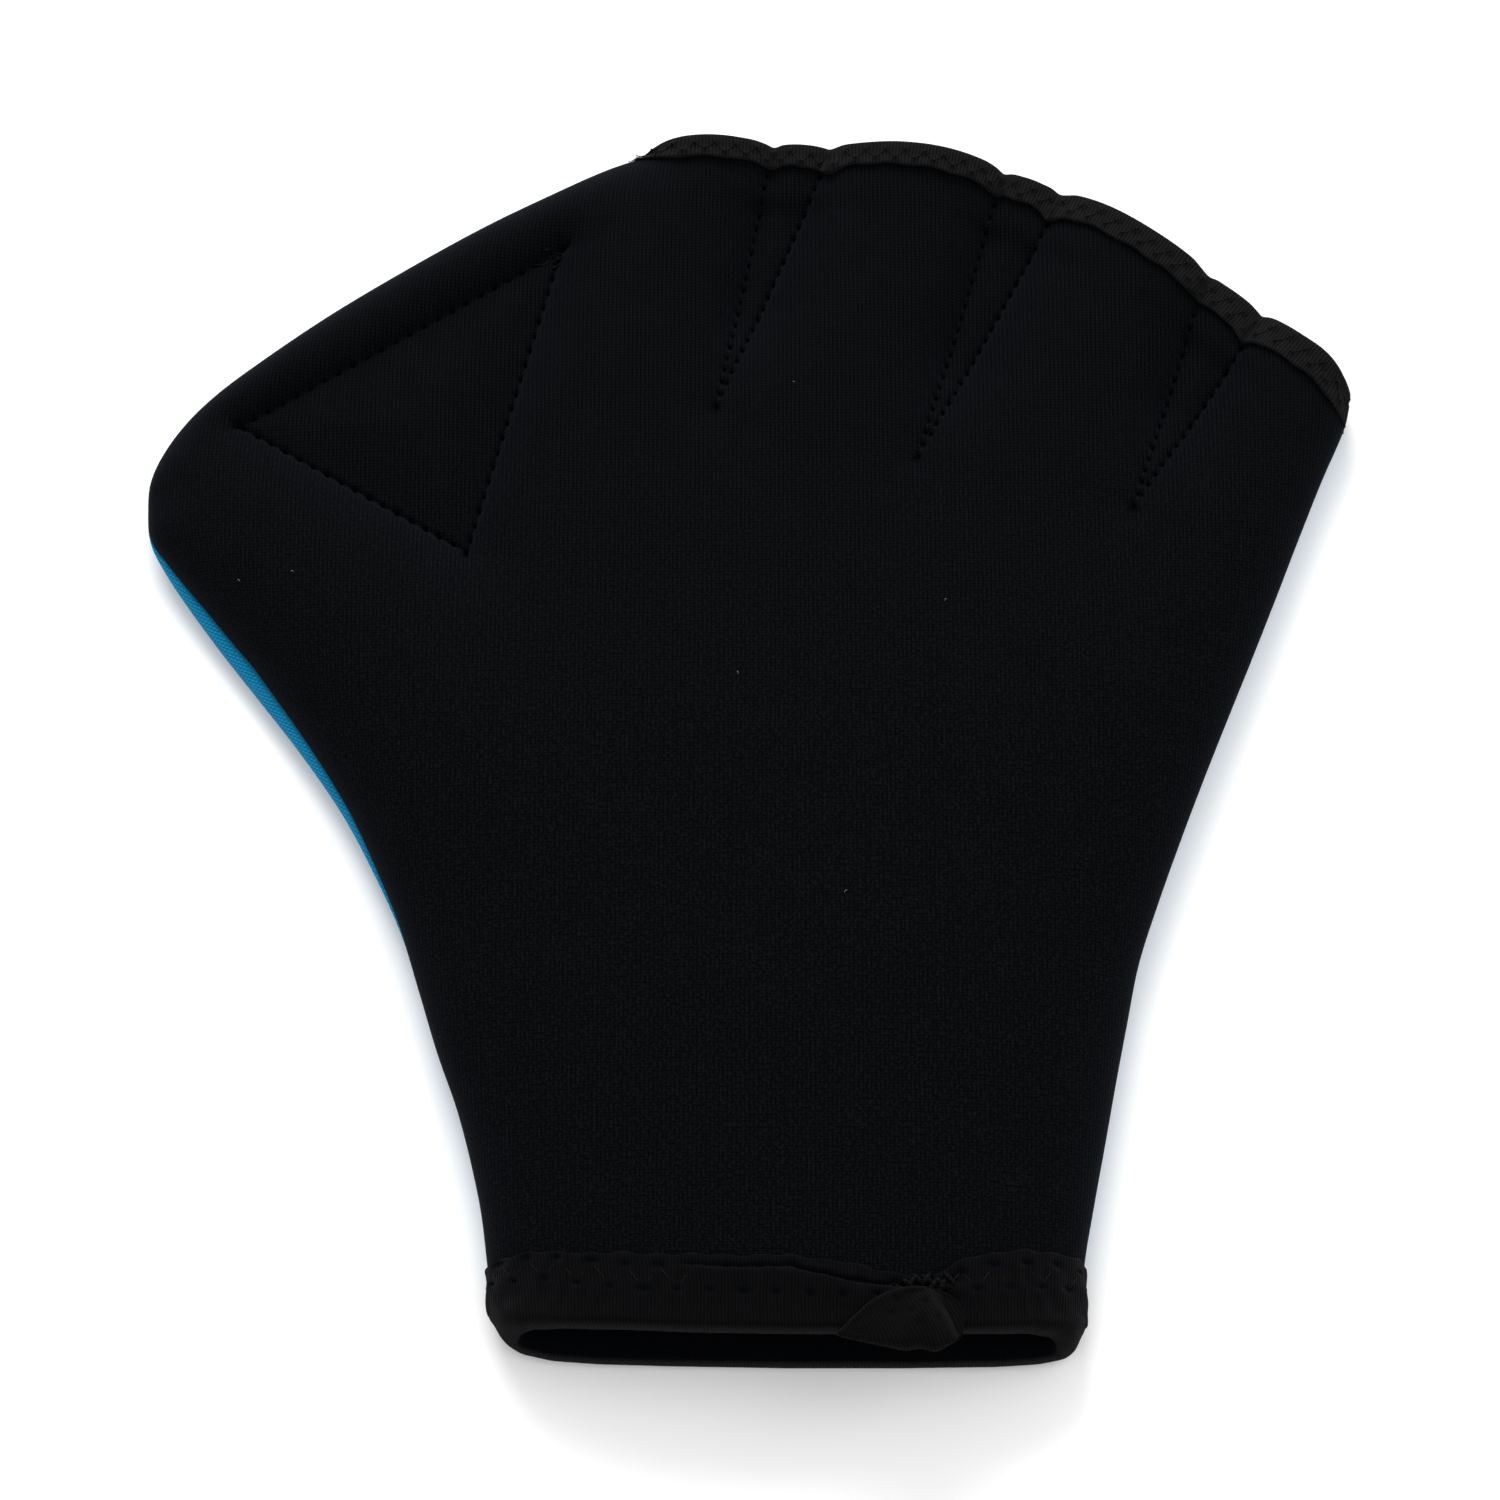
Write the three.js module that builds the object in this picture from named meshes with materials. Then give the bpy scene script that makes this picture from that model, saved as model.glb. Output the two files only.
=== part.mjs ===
// Webbed swim glove, left hand, lying on its back panel with the palm up, the fingers towards +Y
// and the thumb towards -X. Millimetres. Two shaped panels of soft sheet meet edge to edge at the
// side seams and pinch together along the web seams, which leaves channels for the fingers.
import * as THREE from 'three';

// Overall sizes
const gloveLength = 201; // wrist rim to fingertip rim
const gloveWidth = 191.8; // thumb tip to little finger side
const palmRise = 13.6; // palm above the seam plane at the wrist
const backDrop = 9; // how steeply the back curves down from the seam plane
const sideRound = 34; // distance over which a side rolls up to the full height
const seamHeight = 5; // seam plane above the surface that the glove lies on

// Sheet and seams
const sheetWall = 2; // thickness of the panels
const rimWall = 1.2; // thickness of the panels under the fingertip tape
const seamGap = 0.3; // between the two panels where they meet
const webPinch = 0.6; // how far the web seams stand off fully pinched
const rimPinch = 1.95; // the same at the fingertip rim, where the tapes pass between the panels
const footPinch = 5.5; // the same at the foot of a web seam, where the stiff sheet is drawn in less
const footReach = 20; // length of seam over which that changes
const webPast = 0.15; // share of its length by which a web seam runs on beyond the fingertip edge
const webSlack = 0.15; // share of the side roll that is left inside a sewn web
const stripWidth = 2.2; // back panel that wraps round the thumb side

// Binding tapes
const tapeWall = 0.7;
const tapeGap = 0.4; // between a tape and the sheet that it wraps
const wristSlack = 0.7; // more room for the inside leg at the wrist
const tipSlack = 0.6; // the same at the fingertips
const wristTape = 11.4; // width of the tape on the outside at the wrist
const wristBand = 12; // depth of the panels' rim that is shaped for it
const wristTapeInside = 9;
const tipTape = 4; // width on the outside at the fingertips
const tipBand = 6; // depth of the panels' rim that is kept thin and level there
const tipTapeInside = 2.6;
const lapWall = 0.9; // folded tape end at the front of the wrist, at its edge
const lapCrown = 0.8; // what its middle adds
const palmSetback = 1.5; // palm edge behind the back edge at the wrist
const pinchRamp = 4; // length over which the sheet changes beside a tape
const levelShare = 0.25; // share of that length which stays level next to the tape
const legInset = 0.3; // inside leg: how much further in it keeps for each mm from a side seam
const legRoom = 0.1; // inside leg: how much it rises off the seam plane for the same

// Mesh spacing
const sideStep = 4.2;
const edgeStep = 4.2;
const seamStep = 3.9;
const openStep = 9.5;
const jitter = 0.02; // small shift that keeps four plan points off one circle
const sideBands = [1.4, 4.5];
const seamBand = 3;

const halfWidth = gloveWidth / 2;
const halfLength = gloveLength / 2;
const tapeLift = tapeWall + tapeGap;
const wristBands = [0.5, 1.05]; // shares of the wrist tape's width
const tipBands = [tipBand / 2, tipBand + 0.9];
const palmSeam = seamHeight + seamGap / 2;
const backSeam = seamHeight - seamGap / 2;

// Outline of the thumb side, wrist to fingertip: share of half the width, share of half the length
const thumbSide = [
  [-0.411, -0.930],
  [-0.422, -0.852],
  [-0.436, -0.754],
  [-0.472, -0.612],
  [-0.507, -0.516],
  [-0.537, -0.421],
  [-0.569, -0.323],
  [-0.614, -0.226],
  [-0.667, -0.128],
  [-0.735, -0.029],
  [-0.814, 0.072],
  [-0.893, 0.171],
  [-0.967, 0.273],
  [-0.994, 0.323],
  [-1.000, 0.374],
  [-0.997, 0.426],
  [-0.975, 0.476],
  [-0.938, 0.528],
  [-0.890, 0.576],
  [-0.824, 0.628],
  [-0.715, 0.706],
  [-0.590, 0.785],
  [-0.456, 0.863],
  [-0.352, 0.916],
  [-0.250, 0.964],
  [-0.186, 0.987],
];
// Outline of the little finger side, wrist to fingertip, in the same shares
const littleSide = [
  [0.513, -0.950],
  [0.520, -0.852],
  [0.538, -0.754],
  [0.557, -0.660],
  [0.576, -0.564],
  [0.596, -0.468],
  [0.617, -0.372],
  [0.650, -0.275],
  [0.687, -0.177],
  [0.726, -0.079],
  [0.768, 0.022],
  [0.810, 0.121],
  [0.852, 0.222],
  [0.893, 0.323],
  [0.936, 0.426],
  [0.978, 0.520],
  [0.987, 0.556],
];
// Fingertip edge of the panels, thumb side to little finger side, in the same shares
const tipEdge = [
  [-0.186, 0.987],
  [-0.089, 0.989],
  [-0.004, 0.985],
  [0.080, 0.983],
  [0.163, 0.976],
  [0.245, 0.972],
  [0.327, 0.961],
  [0.410, 0.940],
  [0.493, 0.908],
  [0.574, 0.869],
  [0.656, 0.820],
  [0.737, 0.769],
  [0.818, 0.707],
  [0.899, 0.643],
  [0.945, 0.609],
  [0.987, 0.556],
];
// Wrist edge: share of the wrist width from the thumb side, share of half the length
const wristEdge = [
  [0.000, -0.930],
  [0.015, -0.949],
  [0.045, -0.966],
  [0.100, -0.977],
  [0.180, -0.982],
  [0.300, -0.985],
  [0.500, -0.988],
  [0.700, -0.988],
  [0.860, -0.986],
  [0.930, -0.982],
  [0.975, -0.974],
  [0.992, -0.965],
  [1.000, -0.950],
];
// Web seams: foot across and along, thumb side top across and along, far top across and along
const webs = [
  [-0.063, 0.533, 0.030, 0.990, 0.132, 0.990],
  [0.269, 0.447, 0.420, 0.960, 0.524, 0.918],
  [0.622, 0.363, 0.754, 0.775, 0.848, 0.700],
];
// Sewn triangle between thumb and index finger, corners across and along
const thumbWeb = [
  [-0.852, 0.512],
  [-0.322, 0.817],
  [-0.472, 0.298],
];
// Height of the palm: share of half the length, share of the palm rise
const palmHeights = [
  [-1.00, 0.985],
  [-0.60, 0.95],
  [-0.20, 0.90],
  [0.20, 0.84],
  [0.60, 0.80],
  [1.00, 0.80],
];
// Back panel showing beyond the palm: share of half the length, share of the strip width
const strip = [
  [-0.36, 0.00],
  [-0.22, 0.28],
  [-0.12, 0.50],
  [-0.02, 0.72],
  [0.10, 1.00],
  [0.20, 0.80],
  [0.28, 0.45],
  [0.34, 0.00],
];
// Folded tape end: share of the wrist width, share of the wrist tape's width up from the rim
const lapOutline = [
  [0.580, -0.19],
  [0.605, -0.26],
  [0.635, -0.31],
  [0.665, -0.36],
  [0.695, -0.41],
  [0.720, -0.39],
  [0.745, -0.43],
  [0.765, -0.36],
  [0.787, -0.24],
  [0.793, 0.02],
  [0.786, 0.24],
  [0.760, 0.42],
  [0.718, 0.50],
  [0.680, 0.46],
  [0.642, 0.31],
  [0.612, 0.08],
  [0.592, -0.09],
];
const lapMiddle = [
  [0.632, -0.10],
  [0.664, 0.12],
  [0.686, -0.20],
  [0.712, 0.26],
  [0.732, -0.04],
  [0.740, -0.26],
  [0.758, 0.16],
];

// Small helpers
const clamp = (value, low, high) => Math.min(Math.max(value, low), high);
const mix = (a, b, t) => a + (b - a) * t;
const ease = (t) => {
  const c = clamp(t, 0, 1);
  return c * c * (3 - 2 * c);
};
const toPlan = ([across, along]) => [across * halfWidth, along * halfLength];

// Value of a two-column table at a place, straight between its rows
function lookUp(table, place) {
  if (place <= table[0][0]) return table[0][1];
  for (let i = 1; i < table.length; i += 1) {
    const [a, va] = table[i - 1];
    const [b, vb] = table[i];
    if (place <= b) return mix(va, vb, (place - a) / (b - a));
  }
  return table[table.length - 1][1];
}

// Evenly spaced points on a smooth curve through the given ones
function smoothLine(points, step) {
  const curve = new THREE.CatmullRomCurve3(
    points.map(([x, y]) => new THREE.Vector3(x, y, 0)),
    false,
    'centripetal',
  );
  curve.arcLengthDivisions = 40 * points.length;
  const count = Math.max(2, Math.round(curve.getLength() / step));
  return curve.getSpacedPoints(count).map((p) => [p.x, p.y]);
}

// Nearest place on a line of points: distance, tangent and the point itself
function nearest(line, x, y) {
  let best = { distance: Infinity };
  for (let i = 1; i < line.length; i += 1) {
    const [ax, ay] = line[i - 1];
    const dx = line[i][0] - ax;
    const dy = line[i][1] - ay;
    const length = Math.hypot(dx, dy);
    const t = clamp(((x - ax) * dx + (y - ay) * dy) / (length * length), 0, 1);
    const px = ax + dx * t;
    const py = ay + dy * t;
    const distance = Math.hypot(x - px, y - py);
    if (distance < best.distance) {
      best = { distance, tangent: [dx / length, dy / length], point: [px, py] };
    }
  }
  return best;
}

// Is a plan point inside a closed ring of points
function inside(ring, x, y) {
  let odd = false;
  for (let i = 0, j = ring.length - 1; i < ring.length; j = i, i += 1) {
    const [xi, yi] = ring[i];
    const [xj, yj] = ring[j];
    if (yi > y !== yj > y && x < ((xj - xi) * (y - yi)) / (yj - yi) + xi) odd = !odd;
  }
  return odd;
}

// Plan curves
const lineStep = 1.5;
const tipLineStep = 0.7;
const thumbLine = smoothLine(thumbSide.map(toPlan), lineStep);
const littleLine = smoothLine(littleSide.map(toPlan), lineStep);
const tipLine = smoothLine(tipEdge.map(toPlan), tipLineStep);
const thumbTipAt = thumbLine.reduce((best, p, i) => (p[0] < thumbLine[best][0] ? i : best), 0);
const thumbLower = thumbLine.slice(0, thumbTipAt + 1);
const thumbUpper = thumbLine.slice(thumbTipAt);
const [wristLeft] = thumbLine[0];
const [wristRight] = littleLine[0];
const wristY = (share) => lookUp(wristEdge, clamp(share, 0, 1)) * halfLength;
const wristRim = Math.min(...wristEdge.map((row) => row[1])) * halfLength;
// The tape's upper edge runs straight across, so it is narrower where the corners round off
const tapeY = (share, up) => mix(wristY(share), wristRim + wristBand, up / wristBand);
const wristLine = [];
for (let i = 0; i <= 60; i += 1) {
  const share = (1 - Math.cos((Math.PI * i) / 60)) / 2;
  wristLine.push([mix(wristLeft, wristRight, share), wristY(share)]);
}
const webRings = webs.map(([fx, fy, ax, ay, bx, by]) => [
  toPlan([fx, fy]),
  toPlan([mix(fx, ax, 1 + webPast), mix(fy, ay, 1 + webPast)]),
  toPlan([mix(fx, bx, 1 + webPast), mix(fy, by, 1 + webPast)]),
]);
const thumbRing = thumbWeb.map(toPlan);
const sewnRings = [...webRings, thumbRing];

// How far a point is from the sides and from the sewn webs, blended so that ridges stay smooth
function roll(x, y) {
  const toTip = nearest(tipLine, x, y).distance;
  const rimShare = ease((toTip - tipBand) / pinchRamp - levelShare);
  const lengths = [thumbLower, thumbUpper, littleLine].map((line) => nearest(line, x, y).distance);
  sewnRings.forEach((ring) => {
    const { distance } = nearest([...ring, ring[0]], x, y);
    const fromFoot = webRings.includes(ring) ? Math.hypot(x - ring[0][0], y - ring[0][1]) : footReach;
    const drawn = mix(footPinch, webPinch, ease(fromFoot / footReach));
    lengths.push(mix(rimPinch, drawn, rimShare) + distance * (inside(ring, x, y) ? webSlack : 1));
  });
  return 1 / Math.sqrt(lengths.reduce((sum, d) => sum + 1 / Math.max(d, 1e-4) ** 2, 0));
}
const swell = (distance) => Math.sqrt(1 - (1 - clamp(distance / sideRound, 0, 1)) ** 2);

// Back panel showing on the thumb side
const stripAt = (y) => lookUp(strip, y / halfLength) * stripWidth;
const stripReach = 4 * stripWidth;
function stripShift(x, y) {
  const at = nearest(thumbLower, x, y);
  const width = stripAt(at.point[1]) * clamp(1 - at.distance / stripReach, 0, 1);
  return { width, x: at.tangent[1] * width, y: -at.tangent[0] * width };
}

// Sheet thickness, thinner under the fingertip tapes
function wallAt(x, y) {
  const toTip = nearest(tipLine, x, y).distance;
  return mix(rimWall, sheetWall, ease((toTip - tipBand) / pinchRamp - levelShare));
}

// Palm height and the lowest level of the back, which leaves room for the tapes below it
const palmTop = (x, y) => palmSeam + palmRise * lookUp(palmHeights, y / halfLength) * swell(roll(x, y));
function restLevel(x, y) {
  const fromTip = (nearest(tipLine, x, y).distance - tipBand) / pinchRamp;
  const fromWrist = (y - wristRim - wristBand) / pinchRamp;
  return tapeLift * (1 - ease(Math.min(fromTip, fromWrist) - levelShare));
}
function backBottom(x, y) {
  const start = backSeam - stripShift(x, y).width;
  return Math.max(restLevel(x, y), start - backDrop * swell(roll(x, y)));
}

// Triangles between plan points, each new point splitting those whose circle holds it
function triangulate(points) {
  const far = 20 * (halfWidth + halfLength);
  const all = [...points, [-far, -far], [far, -far], [0, far]];
  const withCircle = (a, b, c) => {
    const [ax, ay] = all[a];
    const bx = all[b][0] - ax;
    const by = all[b][1] - ay;
    const cx = all[c][0] - ax;
    const cy = all[c][1] - ay;
    const cross = 2 * (bx * cy - by * cx);
    const ux = (cy * (bx * bx + by * by) - by * (cx * cx + cy * cy)) / cross;
    const uy = (bx * (cx * cx + cy * cy) - cx * (bx * bx + by * by)) / cross;
    return { corners: [a, b, c], x: ax + ux, y: ay + uy, square: ux * ux + uy * uy };
  };
  let found = [withCircle(points.length, points.length + 1, points.length + 2)];
  points.forEach(([x, y], index) => {
    const kept = [];
    const open = new Map();
    found.forEach((t) => {
      if ((x - t.x) ** 2 + (y - t.y) ** 2 >= t.square) {
        kept.push(t);
        return;
      }
      for (let k = 0; k < 3; k += 1) {
        const a = t.corners[k];
        const b = t.corners[(k + 1) % 3];
        if (open.has(`${b} ${a}`)) open.delete(`${b} ${a}`);
        else open.set(`${a} ${b}`, [a, b]);
      }
    });
    open.forEach(([a, b]) => kept.push(withCircle(a, b, index)));
    found = kept;
  });
  return found.map((t) => t.corners).filter((c) => c.every((i) => i < points.length));
}

// Plan points: the outline, bands along it, the seams with bands beside them, and an open field
const offsetLine = (line, distance) => line.map(([x, y], i) => {
  const [ax, ay] = line[Math.max(i - 1, 0)];
  const [bx, by] = line[Math.min(i + 1, line.length - 1)];
  const length = Math.hypot(bx - ax, by - ay);
  return [x + (distance * (by - ay)) / length, y - (distance * (bx - ax)) / length];
});
const thumbStations = smoothLine(thumbSide.map(toPlan), sideStep);
const littleStations = smoothLine(littleSide.map(toPlan), sideStep);
// Places along the fingertip edge where the web seams run out
const tipBreaks = [0, tipLine.length - 1];
webRings.forEach(([foot, near, beyond]) => [near, beyond].forEach((top) => {
  const off = tipLine.map((p) => nearest([foot, top], ...p).distance);
  tipBreaks.push(off.indexOf(Math.min(...off)));
}));
tipBreaks.sort((a, b) => a - b);
const tipPlaces = tipBreaks.slice(1).flatMap((to, i) => {
  const from = tipBreaks[i];
  const count = Math.max(1, Math.round(((to - from) * tipLineStep) / edgeStep));
  return Array.from({ length: count }, (_, k) => Math.round(mix(from, to, k / count)));
});
tipPlaces.push(tipLine.length - 1);
const tipStations = tipPlaces.map((place) => tipLine[place]);
const wristStations = [];
const wristCount = 2 * Math.round((wristRight - wristLeft) / edgeStep / 2) + 4;
for (let i = 0; i <= wristCount; i += 1) {
  const turn = (Math.PI * i) / wristCount;
  const share = mix((1 - Math.cos(turn)) / 2, i / wristCount, 0.45);
  wristStations.push([mix(wristLeft, wristRight, share), wristY(share)]);
}
// The outline runs up the thumb side, across the fingertips, down the other side and back
const outline = [
  ...thumbStations.slice(0, -1),
  ...tipStations.slice(0, -1),
  ...[...littleStations].reverse().slice(0, -1),
  ...[...wristStations].reverse().slice(0, -1),
];
const seamCorners = thumbStations.length - 1;
const tipCorner = seamCorners + tipStations.length - 1;
const wristCorner = tipCorner + littleStations.length - 1;
const onSide = (i) => i <= seamCorners || (i >= tipCorner && i <= wristCorner);

const plan = [...outline];
const clearOf = (x, y, gap) => plan.every(([px, py]) => Math.hypot(x - px, y - py) > gap);
function addPoints(points, gap, fromOutline) {
  points.forEach(([x, y], i) => {
    const px = x + jitter * Math.sin(7 * i + 1);
    const py = y + jitter * Math.cos(11 * i + 2);
    if (!inside(outline, px, py)) return;
    if (nearest([...outline, outline[0]], px, py).distance < fromOutline) return;
    if (clearOf(px, py, gap)) plan.push([px, py]);
  });
}
sideBands.forEach((band) => {
  addPoints(offsetLine(thumbStations, band), band * 0.6, band * 0.8);
  addPoints(offsetLine(littleStations, -band), band * 0.6, band * 0.8);
});
tipBands.forEach((band) => addPoints(offsetLine(tipStations, band), 2.2, 1));
wristBands.forEach((band) => {
  const shareOf = (x) => (x - wristLeft) / (wristRight - wristLeft);
  addPoints(wristStations.map(([x]) => [x, tapeY(shareOf(x), band * wristBand)]), 2.6, 1);
});
const sewnLines = [];
webRings.forEach(([foot, near, beyond]) => sewnLines.push([near, foot, beyond]));
sewnLines.push([...thumbRing, thumbRing[0]]);
const divide = (line, step) => line.slice(1).flatMap(([bx, by], i) => {
  const [ax, ay] = line[i];
  const count = Math.max(1, Math.round(Math.hypot(bx - ax, by - ay) / step));
  return Array.from({ length: count }, (_, k) => [mix(ax, bx, k / count), mix(ay, by, k / count)]);
});
sewnLines.forEach((line) => addPoints(divide(line, seamStep), 1.7, 1));
sewnLines.forEach((line) => {
  for (let i = 1; i < line.length; i += 1) {
    const part = divide([line[i - 1], line[i]], seamStep).concat([line[i]]);
    [seamBand, -seamBand].forEach((side) => addPoints(offsetLine(part, side), 2.6, 2.2));
  }
});
const field = [];
const rowStep = openStep * Math.sqrt(0.75);
for (let row = 0; row * rowStep < gloveLength; row += 1) {
  for (let k = 0; k * openStep < gloveWidth; k += 1) {
    field.push([(k + (row % 2) / 2) * openStep - halfWidth, row * rowStep - halfLength]);
  }
}
addPoints(field, openStep * 0.62, openStep * 0.5);
const planTriangles = triangulate(plan).filter((corners) => {
  const x = corners.reduce((sum, i) => sum + plan[i][0] / 3, 0);
  const y = corners.reduce((sum, i) => sum + plan[i][1] / 3, 0);
  return inside(outline, x, y);
});

// Closed body from shared corner points, with triangles that fold up left out
function body(name, color, roughness, positions, triangles) {
  const geometry = new THREE.BufferGeometry();
  const kept = triangles.filter(([a, b, c]) => a !== b && b !== c && c !== a);
  geometry.setAttribute('position', new THREE.Float32BufferAttribute(positions.flat(), 3));
  geometry.setIndex(kept.flat());
  geometry.computeVertexNormals();
  const material = new THREE.MeshStandardMaterial({ color, roughness, metalness: 0 });
  const mesh = new THREE.Mesh(geometry, material);
  mesh.name = name;
  return mesh;
}

// Slope of a height, for a wall of even thickness below or above it
function slopeFactor(height, x, y) {
  const h = 0.2;
  const dx = (height(x + h, y) - height(x - h, y)) / (2 * h);
  const dy = (height(x, y + h) - height(x, y - h)) / (2 * h);
  return Math.min(Math.hypot(1, dx, dy), 2.2);
}

// Where the palm lies over a plan point: pulled in for the strip and set back at the wrist
function palmPlace(x, y) {
  const shift = stripShift(x, y);
  const share = clamp((x - wristLeft) / (wristRight - wristLeft), 0, 1);
  const above = clamp(1 - (y - wristY(share)) / (wristBand + 2 * pinchRamp), 0, 1);
  const back = palmSetback * Math.min(1, 6 * share * (1 - share)) * above;
  return [x + shift.x, y + shift.y + back];
}

// Wall strips along the open wrist and fingertip edges
function edgeWalls(first, second) {
  const walls = [];
  outline.forEach((_, i) => {
    const j = (i + 1) % outline.length;
    const isSide = onSide(i) && onSide(j) && !(i === seamCorners && j === tipCorner);
    if (isSide && i !== seamCorners && i !== wristCorner) return;
    walls.push([first[i], first[j], second[j]], [first[i], second[j], second[i]]);
  });
  return walls;
}

function makePalm() {
  const positions = [];
  const top = [];
  const bottom = [];
  plan.forEach(([x, y], i) => {
    const [px, py] = palmPlace(x, y);
    const side = i < outline.length && onSide(i);
    const z = side ? palmSeam : palmTop(x, y);
    top[i] = positions.push([px, py, z]) - 1;
    if (side) {
      bottom[i] = top[i];
      return;
    }
    const wall = wallAt(x, y) * slopeFactor(palmTop, x, y);
    bottom[i] = positions.push([px, py, Math.max(palmSeam, z - wall)]) - 1;
  });
  const triangles = [];
  planTriangles.forEach(([a, b, c]) => {
    triangles.push([top[a], top[b], top[c]], [bottom[a], bottom[c], bottom[b]]);
  });
  triangles.push(...edgeWalls(top, bottom));
  return body('palm_panel', '#0b0c0f', 0.9, positions, triangles);
}

function makeBack() {
  const positions = [];
  const low = [];
  const high = [];
  const rim = [];
  plan.forEach(([x, y], i) => {
    const side = i < outline.length && onSide(i);
    const width = side ? stripAt(y) * (nearest(thumbLower, x, y).distance < 1e-3 ? 1 : 0) : 0;
    const z = side ? backSeam - width : backBottom(x, y);
    low[i] = positions.push([x, y, z]) - 1;
    if (side && width > 0.05) {
      // The edge turns up and in round the thumb side
      const shift = stripShift(x, y);
      const share = 1 - Math.SQRT1_2;
      rim[i] = positions.push([x + shift.x * share, y + shift.y * share, z + width * Math.SQRT1_2]) - 1;
      high[i] = positions.push([x + shift.x, y + shift.y, backSeam]) - 1;
    } else if (side) {
      rim[i] = low[i];
      high[i] = low[i];
    } else {
      const [px, py] = [x + stripShift(x, y).x, y + stripShift(x, y).y];
      const wall = wallAt(x, y) * slopeFactor(backBottom, x, y);
      high[i] = positions.push([px, py, Math.min(backSeam, z + wall)]) - 1;
    }
  });
  const triangles = [];
  planTriangles.forEach(([a, b, c]) => {
    triangles.push([low[a], low[c], low[b]], [high[a], high[b], high[c]]);
  });
  outline.forEach((_, i) => {
    const j = (i + 1) % outline.length;
    if (!onSide(i) || !onSide(j)) return;
    triangles.push([low[j], low[i], rim[i]], [low[j], rim[i], rim[j]]);
    triangles.push([rim[j], rim[i], high[i]], [rim[j], high[i], high[j]]);
  });
  triangles.push(...edgeWalls(high, low));
  return body('back_panel', '#07709a', 0.85, positions, triangles);
}

// Section of a tape folded over an edge, as pairs of rows outside and inside the fold: distance
// from the edge towards the palm, height above the outside of the sheet
function tapeSection(outside, inner, depth) {
  const chain = (lift, round) => [
    [outside, lift],
    [outside / 2, lift],
    [0, lift],
    [-lift, -depth * round],
    [-lift, -depth * (1 - round)],
    [0, -depth - lift],
    [inner, -depth - lift],
  ];
  return [...chain(tapeLift, 0.25), ...chain(tapeGap, 0).reverse()];
}

// Closed body swept through rings of points, with both ends capped across the section
function sweep(name, color, roughness, rings, closed) {
  const size = rings[0].length;
  const triangles = [];
  const spans = closed ? rings.length : rings.length - 1;
  for (let i = 0; i < spans; i += 1) {
    const a = i * size;
    const b = ((i + 1) % rings.length) * size;
    for (let k = 0; k < size; k += 1) {
      const m = (k + 1) % size;
      triangles.push([a + k, a + m, b + m], [a + k, b + m, b + k]);
    }
  }
  if (!closed) {
    const last = (rings.length - 1) * size;
    for (let k = 0; k < size / 2 - 1; k += 1) {
      const far = size - 1 - k;
      triangles.push([k, far, far - 1], [k, far - 1, k + 1]);
      triangles.push([last + k, last + far - 1, last + far], [last + k, last + k + 1, last + far - 1]);
    }
  }
  return body(name, color, roughness, rings.flat(), triangles);
}

// Place on the closed rim of the wrist: turn 0 at the thumb side seam, over the palm to the other
// seam at half a turn and back under the back panel; up is the distance from the rim
const thumbAcross = thumbLine.map(([x, y]) => [y, x]);
const littleAcross = littleLine.map(([x, y]) => [y, x]);
function wristPoint(turn, up) {
  const share = (1 - Math.cos(turn)) / 2;
  const above = Math.max(up, 0);
  const y = tapeY(share, above);
  const x = mix(lookUp(thumbAcross, y), lookUp(littleAcross, y), share);
  const over = Math.sin(turn) > 0;
  const [px, py] = over ? palmPlace(x, y) : [x, y];
  return new THREE.Vector3(px, py + up - above, over ? palmTop(x, y) : backBottom(x, y));
}
function wristOffset(turn, up, height) {
  const h = 0.03;
  const above = Math.max(up, 0.1);
  const along = wristPoint(turn + h, above).sub(wristPoint(turn - h, above));
  const across = wristPoint(turn, above + h).sub(wristPoint(turn, above - h));
  const point = wristPoint(turn, up);
  const normal = along.cross(across).normalize();
  const onSeam = Math.abs(Math.sin(turn)) < 1e-6;
  if (onSeam) point.z = seamHeight;
  if (onSeam) normal.z = 0;
  const place = point.clone().addScaledVector(normal, height);
  // Inside the fold the leg stays clear of itself where the sides roll tightly
  const left = lookUp(thumbAcross, point.y);
  const right = lookUp(littleAcross, point.y);
  if (height < 0) {
    const fromSide = Math.min(point.x - left, right - point.x);
    const inset = -height + legInset * fromSide;
    place.x = clamp(place.x, left + inset, right - inset);
    place.y = point.y;
    const room = seamGap / 2 + legRoom * Math.min(fromSide, seamHeight);
    if (!onSeam && Math.sin(turn) > 0) place.z = Math.max(place.z, seamHeight + room);
    if (!onSeam && Math.sin(turn) < 0) place.z = Math.min(place.z, seamHeight - room);
  }
  // It also keeps to the rounded corner of the rim
  const shareAt = (x) => (x - left) / (right - left);
  place.y += wristY(shareAt(place.x)) - wristY(shareAt(point.x));
  return place;
}
function makeWristBinding() {
  const section = tapeSection(wristTape, wristTapeInside, sheetWall + wristSlack);
  const count = 2 * Math.round((2 * (wristRight - wristLeft)) / edgeStep / 2) + 10;
  const rings = Array.from({ length: count }, (_, i) => {
    const turn = (2 * Math.PI * i) / count;
    return section.map(([up, height]) => wristOffset(turn, up, height).toArray());
  });
  return sweep('wrist_binding', '#111112', 0.95, rings, true);
}

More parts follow.
